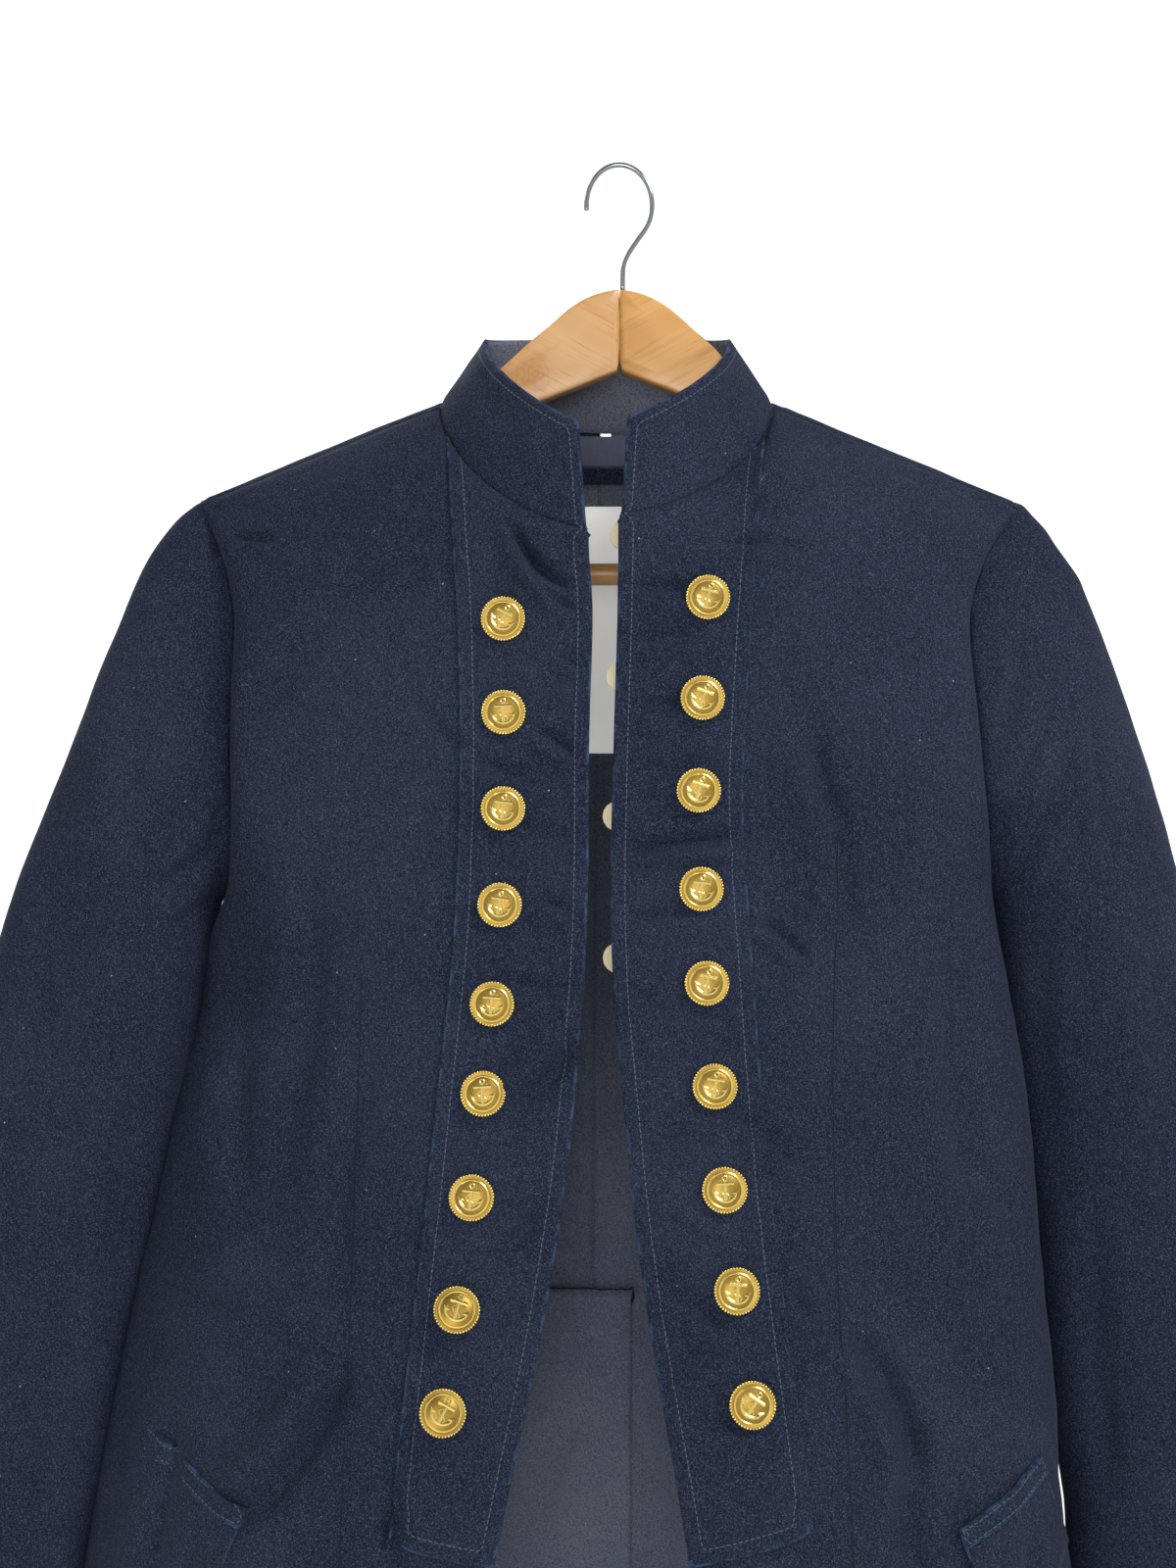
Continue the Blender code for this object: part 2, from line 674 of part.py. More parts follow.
def at_height(line, height):
    """The point of a falling line of points at a height."""
    heights = -line[:, 2]
    return np.array([np.interp(height, heights, line[:, axis]) for axis in range(3)])


def make_back():
    """The two halves of the upper back, meeting at the centre seam."""
    for side in (LEFT, RIGHT):
        grid = trim(back_grid(side), top=SEAM_GAP, bottom=SEAM_GAP, first=SEAM_GAP, last=SEAM_GAP)
        out = square_side(outward(grid, np.array([0.0, 1.0, 0.3])), grid, side)
        wall(f"back_{SIDE_NAME[side]}", grid, grid - CLOTH * out, cloths["navy"])


def make_skirts():
    """The two back skirts below the waist seam. The left one passes inside the right at the vent."""
    for side in (LEFT, RIGHT):
        parts = back_parts(side)
        grid = np.array([[back_point(side, p, h) for p in parts] for h in SKIRT_HEIGHTS])
        if side == LEFT:
            end, width = VENT_RAMP
            grid[:, :, 1] -= VENT_STEP * np.array([smooth((end - p) / width) for p in parts])
            lap = grid[:, :1].copy()
            lap[:, 0, 0] += VENT_OVERLAP
            middle = 0.5 * (lap + grid[:, :1])
            grid = np.concatenate([lap, middle, grid], axis=1)
        grid = trim(grid, top=SEAM_GAP, last=SEAM_GAP)
        out = square_side(outward(grid, np.array([0.0, 1.0, 0.0])), grid, side)
        wall(f"skirt_{SIDE_NAME[side]}", grid, grid - CLOTH * out, cloths["navy"])


def make_collar():
    """The stand collar, from one front corner round the back of the neck to the other."""
    halves = []
    for side in (LEFT, RIGHT):
        low, high = (math.radians(a) for a in COLLAR_FRONT_ANGLE[side])
        rows = []
        for rise in COLLAR_RISES:
            row = []
            for k in range(COLLAR_COLUMNS):
                share = k / (COLLAR_COLUMNS - 1)
                foot = ring_point(
                    NECK_SEAM, side, low + (math.pi - low) * share, NECK_FRONT_HEIGHT[side])
                head = ring_point(
                    COLLAR_TOP, side, high + (math.pi - high) * share, COLLAR_FRONT_HEIGHT[side])
                foot[2] += COLLAR_LIFT
                row.append(foot + rise * (head - foot))
            rows.append(row)
        halves.append(np.array(rows))
    left, right = halves
    grid = np.concatenate([left, right[:, -2::-1]], axis=1)[::-1]
    out = outward(grid, grid - grid.mean(axis=(0, 1)))
    out[-1, :, 2] = 0.0
    out[-1] /= np.linalg.norm(out[-1], axis=1, keepdims=True)
    wall("collar", grid, grid - COLLAR_CLOTH * out, cloths["navy"])


def sleeve_ring(side, row):
    """One ring of a sleeve. The first is the armhole, and the next ones ease out of it."""
    table = SLEEVE[side]
    place = row / SLEEVE_ROWS * (len(table) - 1)
    k = min(int(place), len(table) - 2)
    rung = Rung(*[a + (place - k) * (b - a) for a, b in zip(table[k], table[k + 1])])
    hole = table[0]
    ease = max(0.0, 1.0 - place / SLEEVE_EASE) ** 1.5
    ring = []
    for n in range(SLEEVE_AROUND):
        angle = 2 * math.pi * n / SLEEVE_AROUND
        share = 0.5 * (1 - math.cos(angle))
        sine = math.sin(angle)
        round_side = math.copysign(abs(sine) ** SLEEVE_POWER, sine)
        out = rung.outer + share * (rung.inner - rung.outer)
        height = rung.outer_height + share * (rung.inner_height - rung.outer_height)
        y = -rung.forward - rung.half_depth * round_side
        hole_height = hole.outer_height + share * (hole.inner_height - hole.outer_height)
        straight = hole.outer + share * (hole.inner - hole.outer)
        out += ease * (read(CUT[side], "side", hole_height) + SLEEVE_GAP - straight)
        hole_y = armhole_y(side, hole_height)
        if abs(sine) < 1e-6:
            hole_y = 0.0
        y += ease * (hole.forward + hole.half_depth * round_side - math.copysign(hole_y, sine))
        ring.append([side * out, y, -height])
    return ring


def armhole_y(side, height):
    """How far the armhole's edge stands from the hanger's plane, front and back alike."""
    below = max(0.0, height - SLEEVE[side][0].outer_height)
    edge = shoulder_edge(below) * armhole_closing(height)
    full = ARMHOLE_DEPTH * armhole_closing(height)
    return math.hypot(edge, full * (1.0 - math.exp(-below / SHOULDER_FALL)))


def make_sleeves():
    """The two sleeves, each one tube from the armhole to its open cuff."""
    for side in (LEFT, RIGHT):
        grid = np.array([sleeve_ring(side, row) for row in range(SLEEVE_ROWS + 1)])
        out = outward(grid, None, closed=True)
        wall(f"sleeve_{SIDE_NAME[side]}", grid, grid - CLOTH * out, cloths["navy"], closed=True)


def surface_point(grid, x, height):
    """The point of a front's outside at a place across and a height."""
    row = int(np.searchsorted(-grid[:, -4, 2], height)) - 1
    share = (height + grid[row, 0, 2]) / (grid[row, 0, 2] - grid[row + 1, 0, 2])
    line = grid[row] + share * (grid[row + 1] - grid[row])
    order = np.argsort(line[:, 0])
    return np.array([np.interp(x, line[order, 0], line[order, axis]) for axis in range(3)])


def make_pockets():
    """The slanted pocket flaps, each with a narrow welt along its upper edge."""
    for side in (LEFT, RIGHT):
        grid = front_grid(side)
        pocket = POCKETS[side]
        for name, drops, lift, depth in (
            ("pocket_flap", (0.0, 0.25, 0.5, 0.75, 1.0), FLAP_LIFT, FLAP_DROP),
            ("pocket_welt", (0.0, 0.5, 1.0), FLAP_LIFT + LIGHT_CLOTH + LAY_GAP, WELT_DROP),
        ):
            rows = []
            for drop in drops:
                row = []
                for k in range(POCKET_COLUMNS + 1):
                    share = k / POCKET_COLUMNS
                    out = pocket.inner + share * (pocket.outer - pocket.inner)
                    out += FLAP_LEAN * depth / FLAP_DROP * drop
                    height = pocket.inner_height + depth * drop
                    height += share * (pocket.outer_height - pocket.inner_height)
                    row.append(surface_point(grid, side * out, height))
                rows.append(row)
            patch = np.array(rows)
            unit = outward(patch, np.array([0.0, -1.0, 0.0]))
            under = patch + lift * unit
            wall(f"{name}_{SIDE_NAME[side]}", under + LIGHT_CLOTH * unit, under, cloths["navy"])


def turned(profile, segments):
    """The points and faces of a turned solid. The profile runs from the axis, round, to the axis."""
    points = [(0.0, 0.0, profile[0][1])]
    for radius, height in profile[1:-1]:
        for k in range(segments):
            angle = 2 * math.pi * k / segments
            points.append((radius * math.cos(angle), radius * math.sin(angle), height))
    points.append((0.0, 0.0, profile[-1][1]))
    faces = []
    rings = len(profile) - 2
    for k in range(segments):
        n = (k + 1) % segments
        faces.append((0, 1 + n, 1 + k))
        for ring in range(rings - 1):
            a, b = 1 + ring * segments, 1 + (ring + 1) * segments
            faces.append((a + k, a + n, b + n, b + k))
        last = 1 + (rings - 1) * segments
        faces.append((last + k, last + n, len(points) - 1))
    return np.array(points), faces


def place_turned(name, profile, segments, centre, axis, material):
    """A turned solid set on a point, with its axis along a direction."""
    points, faces = turned(profile, segments)
    axis = np.array(axis, float) / np.linalg.norm(axis)
    across = np.cross([0.0, 0.0, 1.0], axis)
    across /= np.linalg.norm(across)
    up = np.cross(axis, across)
    placed = centre + points[:, :1] * across + points[:, 1:2] * up + points[:, 2:] * axis
    return make_mesh(name, placed, faces, material)


def make_buttons(bands):
    """Nine domed buttons down each band, and the flat ones behind the right front's edge."""
    for side in (LEFT, RIGHT):
        over, out = bands[side]
        angle = math.asin(BUTTON_PLACE) / (0.5 * math.pi) * BAND_COLUMNS
        k, part = int(angle), angle - int(angle)
        line = over[:, k] + part * (over[:, k + 1] - over[:, k])
        tilt = out[:, k] + part * (out[:, k + 1] - out[:, k])
        for number, height in enumerate(BUTTON_ROWS[side], 1):
            centre = at_height(line, height)
            axis = [np.interp(height, -line[:, 2], tilt[:, a]) for a in range(3)]
            seat = centre + BUTTON_SEAT * np.array(axis)
            place_turned(
                f"button_{SIDE_NAME[side]}_{number}", BUTTON_PROFILE, BUTTON_SEGMENTS, seat, axis,
                metals["gold"])
    grid = front_grid(RIGHT)
    flat = (
        (0.0, 0.0),
        (INNER_BUTTON_RADIUS, 0.0),
        (INNER_BUTTON_RADIUS, INNER_BUTTON_THICKNESS),
        (0.0, INNER_BUTTON_THICKNESS),
    )
    for number, row in enumerate(INNER_BUTTONS, 1):
        edge = at_height(grid[:, 0], max(row.height, -grid[0, 0, 2]))
        seat = edge + np.array([INNER_BUTTON_INSET, CLOTH + row.behind, 0.0])
        seat[2] = -row.height
        place_turned(
            f"inner_button_{number}", flat, INNER_BUTTON_SEGMENTS, seat, (0.0, 1.0, 0.0),
            cloths["horn"])


def make_neck_inside():
    """What shows inside the back of the neck: a facing, the hanging loop and a bare label."""
    down, across = PATCH_STEPS
    for patch in NECK_PATCHES:
        rows = []
        for step in range(down + 1):
            height = patch.top + (patch.bottom - patch.top) * step / down
            row = []
            for k in range(across + 1):
                x = CENTRE_BACK + patch.half_width * (2 * k / across - 1)
                side = LEFT if x < CENTRE_BACK else RIGHT
                row.append([x, back_inside(side, x, height), -height])
            rows.append(row)
        grid = np.array(rows)
        unit = outward(grid, np.array([0.0, -1.0, 0.0]))
        under = grid + (CLOTH + patch.lift) * unit
        wall(patch.name, under + PATCH_CLOTH * unit, under, cloths[patch.cloth])


def back_inside(side, x, height):
    """The back's own surface at a place across, read from its grid."""
    grid = back_grids[side]
    row = int(np.searchsorted(-grid[:, 0, 2], height)) - 1
    share = (height + grid[row, 0, 2]) / (grid[row, 0, 2] - grid[row + 1, 0, 2])
    line = grid[row] + share * (grid[row + 1] - grid[row])
    order = np.argsort(line[:, 0])
    return float(np.interp(x, line[order, 0], line[order, 1]))


def make_hanger():
    """The wooden hanger: two mitred arms, the round trouser bar on its posts, and the hook."""
    t, e = WOOD_HALF_THICKNESS, WOOD_EDGE
    for side in (LEFT, RIGHT):
        rings = []
        for arm in WOOD_ARM:
            rise = ARM_RISE[side] * smooth((arm.out - ARM_RISE_START) / ARM_RISE_WIDTH)
            top, bottom = rise - arm.top, rise - arm.bottom
            section = (
                (-t + e, top), (t - e, top), (t - 0.5 * e, top - 0.35 * e), (t, top - e),
                (t, bottom + e), (t - 0.5 * e, bottom + 0.35 * e), (t - e, bottom),
                (-t + e, bottom), (-t + 0.5 * e, bottom + 0.35 * e), (-t, bottom + e),
                (-t, top - e), (-t + 0.5 * e, top - 0.35 * e),
            )
            rings.append([(side * arm.out, y, z) for y, z in section])
        make_tube(f"hanger_arm_{SIDE_NAME[side]}", rings, side == RIGHT, metals["wood"])
        wood_over_post = np.interp(POST_OUT, [a.out for a in WOOD_ARM], [a.bottom for a in WOOD_ARM])
        rise = ARM_RISE[side] * smooth((POST_OUT - ARM_RISE_START) / ARM_RISE_WIDTH)
        length = BAR_HEIGHT - BAR_RADIUS - wood_over_post + rise - POST_CLEAR
        foot = np.array([side * POST_OUT, 0.0, -BAR_HEIGHT + BAR_RADIUS + SEAM_GAP])
        profile = ((0, 0), (POST_RADIUS, 0), (POST_RADIUS, length), (0, length))
        place_turned(
            f"bar_post_{SIDE_NAME[side]}", profile, POST_SEGMENTS, foot, (1e-6, 0.0, 1.0),
            metals["steel"])
    whole = 2 * BAR_HALF_LENGTH
    profile = (
        (0, 0),
        (BAR_RADIUS - BAR_CHAMFER, 0),
        (BAR_RADIUS, BAR_CHAMFER),
        (BAR_RADIUS, whole - BAR_CHAMFER),
        (BAR_RADIUS - BAR_CHAMFER, whole),
        (0, whole),
    )
    start = np.array([-BAR_HALF_LENGTH, 0.0, -BAR_HEIGHT])
    place_turned("trouser_bar", profile, BAR_SEGMENTS, start, (1.0, 0.0, 0.0), metals["wood"])
    make_tube("hook", wire_rings(hook_path(), HOOK_WIRE, HOOK_SIDES), False, metals["steel"])


def hook_path():
    """The hook's middle line: a straight stem that swings right, then up and over to the left."""
    path = [(HOOK_OUT + across, 0.0, -height) for across, height in HOOK_STEM]
    start, end = (math.radians(angle) for angle in HOOK_ARC)
    for k in range(HOOK_STEPS + 1):
        angle = start + (end - start) * k / HOOK_STEPS
        across, rise = HOOK_RADIUS * math.cos(angle), HOOK_RISE * math.sin(angle)
        path.append((across, 0.0, HOOK_WIRE - HOOK_RISE + rise))
    return np.array(path)


def wire_rings(path, radius, sides):
    """Rings of points round a wire that lies in the plane of the hanger."""
    tangent = np.gradient(path, axis=0)
    tangent /= np.linalg.norm(tangent, axis=1, keepdims=True)
    rings = []
    for point, along in zip(path, tangent):
        flat = np.array([0.0, 1.0, 0.0])
        across = np.cross(flat, along)
        rings.append([
            point + radius * (math.cos(a) * across + math.sin(a) * flat)
            for a in (2 * math.pi * k / sides for k in range(sides))
        ])
    return rings


def make_tube(name, rings, turn, material):
    """A closed solid through rings of points, with flat ends."""
    around = len(rings[0])
    points = [point for ring in rings for point in ring]
    faces = []
    for r in range(len(rings) - 1):
        for c in range(around):
            a, b = r * around + c, r * around + (c + 1) % around
            faces.append((a, b, b + around, a + around))
    faces.append(tuple(reversed(range(around))))
    faces.append(tuple(range(len(points) - around, len(points))))
    if turn:
        faces = [tuple(reversed(face)) for face in faces]
    return make_mesh(name, points, faces, material)


for old in list(bpy.data.objects):
    bpy.data.objects.remove(old, do_unlink=True)

garment = bpy.data.objects.new("garment", None)
bpy.context.scene.collection.objects.link(garment)
cloths = {
    "navy": make_material("navy_cotton_twill", "#262D3F", 0.9),
    "grey": make_material("grey_lining_cloth", "#42444F", 0.85),
    "white": make_material("white_label_tape", "#E9E9E6", 0.8),
    "horn": make_material("olive_horn", "#B7AC86", 0.4),
}
metals = {
    "gold": make_material("gilt_brass", "#D9B640", 0.28, 1.0),
    "wood": make_material("varnished_oak", "#C99A5B", 0.35),
    "steel": make_material("chromed_steel", "#C9CBD0", 0.12, 1.0),
}
back_grids = {side: back_grid(side) for side in (LEFT, RIGHT)}

band_surfaces = make_fronts()
make_back()
make_skirts()
make_collar()
make_sleeves()
make_pockets()
make_buttons(band_surfaces)
make_neck_inside()
make_hanger()
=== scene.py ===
"""The looks of a navy stand-collar uniform jacket, hung open on a wooden suit hanger.

Everything is in metres in the frame of the CAD model: the origin is inside the top of the hook,
+Z is up and the buttoned front faces -Y. Left and right are the viewer's. Tables are in
millimetres, and a height is counted down from the origin.
"""

import math
from collections import namedtuple

import bmesh
import bpy
import numpy as np
from mathutils import Matrix, Vector, noise
from mathutils.bvhtree import BVHTree
from mathutils.kdtree import KDTree


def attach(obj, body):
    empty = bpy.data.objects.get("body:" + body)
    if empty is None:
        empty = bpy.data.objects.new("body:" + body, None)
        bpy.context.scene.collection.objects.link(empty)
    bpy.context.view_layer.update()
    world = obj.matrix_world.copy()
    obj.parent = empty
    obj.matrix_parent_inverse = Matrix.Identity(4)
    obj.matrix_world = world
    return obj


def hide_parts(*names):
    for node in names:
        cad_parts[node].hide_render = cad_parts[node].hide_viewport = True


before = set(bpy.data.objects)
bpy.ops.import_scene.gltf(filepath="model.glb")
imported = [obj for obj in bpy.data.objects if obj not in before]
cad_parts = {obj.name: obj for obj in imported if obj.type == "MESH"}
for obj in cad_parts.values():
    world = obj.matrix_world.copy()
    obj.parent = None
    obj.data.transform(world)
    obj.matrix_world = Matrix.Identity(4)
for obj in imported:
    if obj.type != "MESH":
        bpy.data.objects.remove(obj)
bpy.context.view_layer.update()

bl_info = {
    "name": "Hung uniform jacket",
    "version": (1, 0, 0),
    "blender": (4, 5, 0),
    "location": "View3D > Sidebar > Jacket",
    "description": "Dresses the jacket and its hanger with folds, stitches, buttons and materials",
    "category": "Object",
}

MM = 0.001
SIDES = {"left": -1, "right": 1}

# The finer copies of the solids: points nearer than this are one, in metres, and edges that turn
# by more than these angles, in degrees, stay sharp
SAME_POINT = 0.00002
CLOTH_SHARP = 52
WOOD_SHARP = 62
SHADED_SHARP = 50
# A face narrower than this is the cut edge of a wall, in metres
WALL_THIN = 0.0031
# Pieces whose edges come nearer than this are sewn together, in metres
SEWN_REACH = 0.0055

# Creases of the cloth. Each runs in a bow from one place to another, sinks by its depth and
# throws up a soft ridge on one side (the right-hand side of its run for a positive width).
Crease = namedtuple("Crease", "x height to_x to_height bow width depth")
FRONT_CREASES = (
    Crease(-207, 203, -180, 207, 1, 4, 1.4),
    Crease(-203, 207, -194, 214, 0, 3, 0.9),
    Crease(-105, 212, -196, 320, 12, 15, 1.3),
    Crease(-114, 288, -83, 321, -3, 6, 0.9),
    Crease(-92, 236, -150, 262, 4, 9, 0.8),
    Crease(-57, 199, -24, 237, 6, 5, 2.4),
    Crease(-50, 214, -20, 250, 5, 4, 1.2),
    Crease(-46, 307, -23, 322, -2, 5, 1.5),
    Crease(-80, 318, -40, 336, 3, 6, 0.9),
    Crease(-34, 270, -18, 276, 0, 4, 1.0),
    Crease(-60, 352, -20, 366, 3, 7, 1.0),
    Crease(-44, 392, -19, 404, 0, 5, 1.0),
    Crease(-70, 428, -22, 440, 4, 6, 1.0),
    Crease(-25, 463, -60, 498, -6, 8, 2.8),
    Crease(-32, 500, -64, 512, 2, 8, 1.4),
    Crease(-40, 542, -72, 570, -5, 7, 2.0),
    Crease(-52, 585, -84, 612, -3, 7, 1.2),
    Crease(-72, 650, -96, 640, 2, 6, 1.0),
    Crease(-120, 565, -96, 548, 2, 5, 1.0),
    Crease(-118, 584, -94, 572, 0, 5, 0.8),
    Crease(-133, 612, -192, 700, -8, 11, 3.0),
    Crease(-182, 596, -214, 604, 3, 9, 1.6),
    Crease(-195, 470, -186, 560, 5, 12, 1.4),
    Crease(-160, 380, -170, 520, -6, 14, 1.2),
    Crease(-128, 470, -140, 600, 5, 12, 1.3),
    Crease(-220, 650, -232, 780, 4, 10, 1.6),
    Crease(-160, 700, -172, 850, 5, 14, 2.2),
    Crease(-112, 640, -120, 820, -4, 10, 1.4),
    Crease(77, 184, 100, 184, 0, 3, 0.9),
    Crease(48, 213, 108, 217, -2, 4, 1.3),
    Crease(6, 236, 46, 240, -2, 6, 1.2),
    Crease(4, 262, 40, 256, 2, 7, 1.2),
    Crease(3, 296, 38, 290, 2, 6, 1.1),
    Crease(74, 273, 100, 272, -1, 4, 0.8),
    Crease(0, 330, 46, 324, 1, 6, 1.0),
    Crease(0, 371, 66, 363, -2, 5, 2.3),
    Crease(64, 358, 108, 354, 0, 4, 0.9),
    Crease(-2, 404, 40, 396, 2, 6, 1.1),
    Crease(70, 405, 96, 428, -2, 5, 1.2),
    Crease(98, 305, 116, 362, 4, 11, 1.8),
    Crease(112, 350, 120, 420, 2, 10, 1.2),
    Crease(2, 440, 34, 452, 2, 6, 1.0),
    Crease(44, 494, 96, 535, -4, 5, 1.4),
    Crease(10, 508, 46, 517, -2, 5, 1.6),
    Crease(103, 489, 152, 506, -4, 8, 1.0),
    Crease(12, 545, 50, 566, 2, 7, 1.3),
    Crease(16, 581, 52, 604, -3, 6, 1.8),
    Crease(78, 589, 105, 602, -1, 5, 1.4),
    Crease(82, 566, 104, 588, -1, 5, 1.0),
    Crease(19, 619, 56, 612, -3, 6, 1.7),
    Crease(28, 640, 64, 648, -2, 6, 1.3),
    Crease(106, 598, 146, 680, -8, 11, 2.8),
    Crease(160, 520, 200, 560, -5, 10, 1.0),
    Crease(150, 585, 186, 575, 4, 7, 1.0),
    Crease(170, 400, 178, 560, 6, 14, 1.3),
    Crease(140, 640, 150, 800, 5, 12, 2.0),
    Crease(196, 690, 206, 860, -5, 12, 2.0),
    Crease(104, 700, 110, 840, 4, 10, 1.4),
)
BACK_CREASES = (
    Crease(-60, 170, -150, 205, 6, 10, 1.2),
    Crease(60, 170, 140, 208, -6, 10, 1.2),
    Crease(-185, 300, -110, 350, -8, 11, 1.8),
    Crease(182, 290, 112, 345, 8, 11, 1.8),
    Crease(-190, 360, -120, 372, 5, 8, 1.3),
    Crease(180, 352, 120, 372, -5, 8, 1.3),
    Crease(-40, 260, -120, 300, 6, 12, 1.0),
    Crease(30, 255, 110, 300, -6, 12, 1.0),
    Crease(-170, 470, -60, 530, -10, 9, 1.4),
    Crease(150, 480, 40, 545, 10, 9, 1.4),
    Crease(-190, 560, -90, 585, 6, 8, 1.3),
    Crease(180, 555, 80, 590, -6, 8, 1.3),
    Crease(-70, 590, -20, 606, 3, 6, 0.9),
    Crease(50, 596, 8, 610, -3, 6, 0.9),
    Crease(-150, 640, -165, 850, 8, 13, 2.4),
    Crease(-70, 650, -78, 850, -6, 12, 1.8),
    Crease(40, 660, 46, 850, 5, 12, 1.8),
    Crease(150, 640, 164, 850, -8, 13, 2.4),
    Crease(-15, 700, -30, 760, 4, 7, 0.9),
    Crease(12, 690, 30, 742, -4, 7, 0.9),
)
SLEEVE_CREASES = (
    Crease(-206, 380, -238, 412, -4, 6, 2.4),
    Crease(-207, 350, -246, 392, -6, 7, 2.2),
    Crease(-210, 310, -252, 372, -8, 9, 1.8),
    Crease(-222, 225, -216, 330, 5, 9, 1.8),
    Crease(-236, 218, -224, 340, 6, 11, 1.6),
    Crease(-258, 250, -262, 470, -10, 14, 1.8),
    Crease(-286, 330, -300, 560, 8, 15, 1.8),
    Crease(-246, 470, -262, 640, 6, 12, 1.8),
    Crease(-312, 470, -338, 690, -8, 14, 1.6),
    Crease(-276, 560, -300, 760, 6, 12, 1.6),
    Crease(-350, 600, -368, 750, 6, 12, 1.4),
    Crease(-262, 500, -292, 520, 4, 8, 1.2),
    Crease(-300, 600, -332, 622, 4, 9, 1.1),
    Crease(212, 252, 193, 318, -5, 7, 2.0),
    Crease(236, 312, 204, 380, -7, 9, 2.8),
    Crease(226, 288, 200, 344, -4, 6, 1.2),
    Crease(244, 340, 212, 404, -6, 9, 1.6),
    Crease(250, 276, 259, 390, 4, 6, 1.8),
    Crease(224, 400, 236, 560, 6, 13, 2.0),
    Crease(268, 380, 286, 560, -7, 13, 1.6),
    Crease(250, 540, 262, 730, 6, 12, 1.8),
    Crease(300, 520, 318, 720, -6, 13, 1.6),
    Crease(232, 470, 262, 492, 4, 8, 1.2),
    Crease(262, 596, 300, 620, 4, 9, 1.1),
    Crease(232, 196, 262, 222, 4, 9, 1.0),
)
COLLAR_CREASES = (
    Crease(-78, 110, -66, 160, -4, 6, 1.6),
    Crease(-62, 120, -52, 172, 3, 5, 0.9),
    Crease(-40, 148, -24, 186, 4, 8, 0.8),
    Crease(66, 112, 58, 150, 4, 5, 0.9),
    Crease(26, 140, 38, 182, -4, 8, 0.8),
    Crease(50, 104, 46, 124, 2, 4, 0.6),
)

# The cloth's own unevenness: how high it stands and how many waves it has to the metre
Rumple = namedtuple("Rumple", "height waves drawn_out seed")
BODY_RUMPLES = (Rumple(1.3, 22.0, 0.5, 0), Rumple(0.6, 62.0, 0.8, 5))
SLEEVE_RUMPLES = (Rumple(1.0, 20.0, 0.4, 0), Rumple(0.35, 60.0, 0.8, 5))
COLLAR_RUMPLES = (Rumple(0.7, 30.0, 1.0, 0),)
NECK_RUMPLES = (Rumple(0.35, 60.0, 1.0, 0),)

# Puckers beside the band's outer and front edges: how far in they reach and how high they stand
Pucker = namedtuple("Pucker", "reach rise")
BAND_PUCKERS = ((True, Pucker(7.0, 1.1)), (False, Pucker(9.0, 1.5)))

# How far from a seam the creases have faded in
BODY_FADE = 16.0
SLEEVE_FADE = 12.0
COLLAR_FADE = 14.0

# A sewn seam: how much of the gap each edge crosses and how far beyond, and the groove along it
SEAM_SHARE = 0.95
SEAM_LAP = 0.35
SEAM_DEPTH = 0.7
SEAM_WIDTH = 1.8

# Darts and seams that are sewn within a panel: where each passes, from top to bottom. Each is drawn as
# a thin dark tube of painted shadow
Line = namedtuple("Line", "x height")
DARTS = {
    "front_left": ((-133, 432), (-133.5, 470), (-134, 520), (-134, 575), (-134.5, 625), (-136, 690),
                   (-140, 780), (-144, 868)),
    "front_right": ((111, 356), (110.5, 400), (108.5, 432), (106.5, 480), (105.5, 530),
                    (106, 580), (107.5, 625), (110, 690), (112, 780), (114, 868)),
}

# How far each arm lies lower beside the neck than its solid, in millimetres
ARM_TUCK = {"left": 4.0, "right": 13.0}

# How far the sleeve and the body's side each come out towards the other, by height
SIDE_MEETING = {
    "left": ((340, 0.0), (390, 2.0), (430, 4.0), (560, 5.5), (700, 6.0), (870, 6.0)),
    "right": ((340, 0.0), (390, 2.0), (430, 3.0), (560, 3.5), (660, 3.2), (690, 1.2), (720, 1.2),
              (745, 3.5), (870, 3.5)),
}

# Buttons: how far each is turned on its shank and how far it hangs over, in degrees
Turn = namedtuple("Turn", "roll lean_x lean_z")
BUTTON_TURNS = {
    "left": (Turn(-24, 0, 0), Turn(2, 2, 0), Turn(-7, 0, 3), Turn(-9, 0, 0), Turn(-4, 0, 0),
             Turn(3, 0, 2), Turn(-6, 0, 0), Turn(-16, -16, 12), Turn(-26, -14, 14)),
    "right": (Turn(-14, 0, 0), Turn(-20, 2, 0), Turn(-17, 0, 0), Turn(-6, 0, 0), Turn(-11, 0, 0),
              Turn(-8, 0, 0), Turn(2, 0, 0), Turn(-5, 0, 0), Turn(-34, 0, 0)),
}


def linear(hex_colour):
    """An sRGB hex colour as linear red, green, blue and alpha."""
    channels = [int(hex_colour[k:k + 2], 16) / 255 for k in (1, 3, 5)]
    return [c / 12.92 if c <= 0.04045 else ((c + 0.055) / 1.055) ** 2.4 for c in channels] + [1.0]


def colour_setting(name, hex_colour, description):
    """A colour that a user may change."""
    return bpy.props.FloatVectorProperty(
        name=name, description=description, subtype="COLOR", size=4, min=0.0, max=1.0,
        default=linear(hex_colour))


def length_setting(name, default, description):
    """A length that a user may change."""
    return bpy.props.FloatProperty(
        name=name, description=description, default=default, unit="LENGTH", min=0.0)


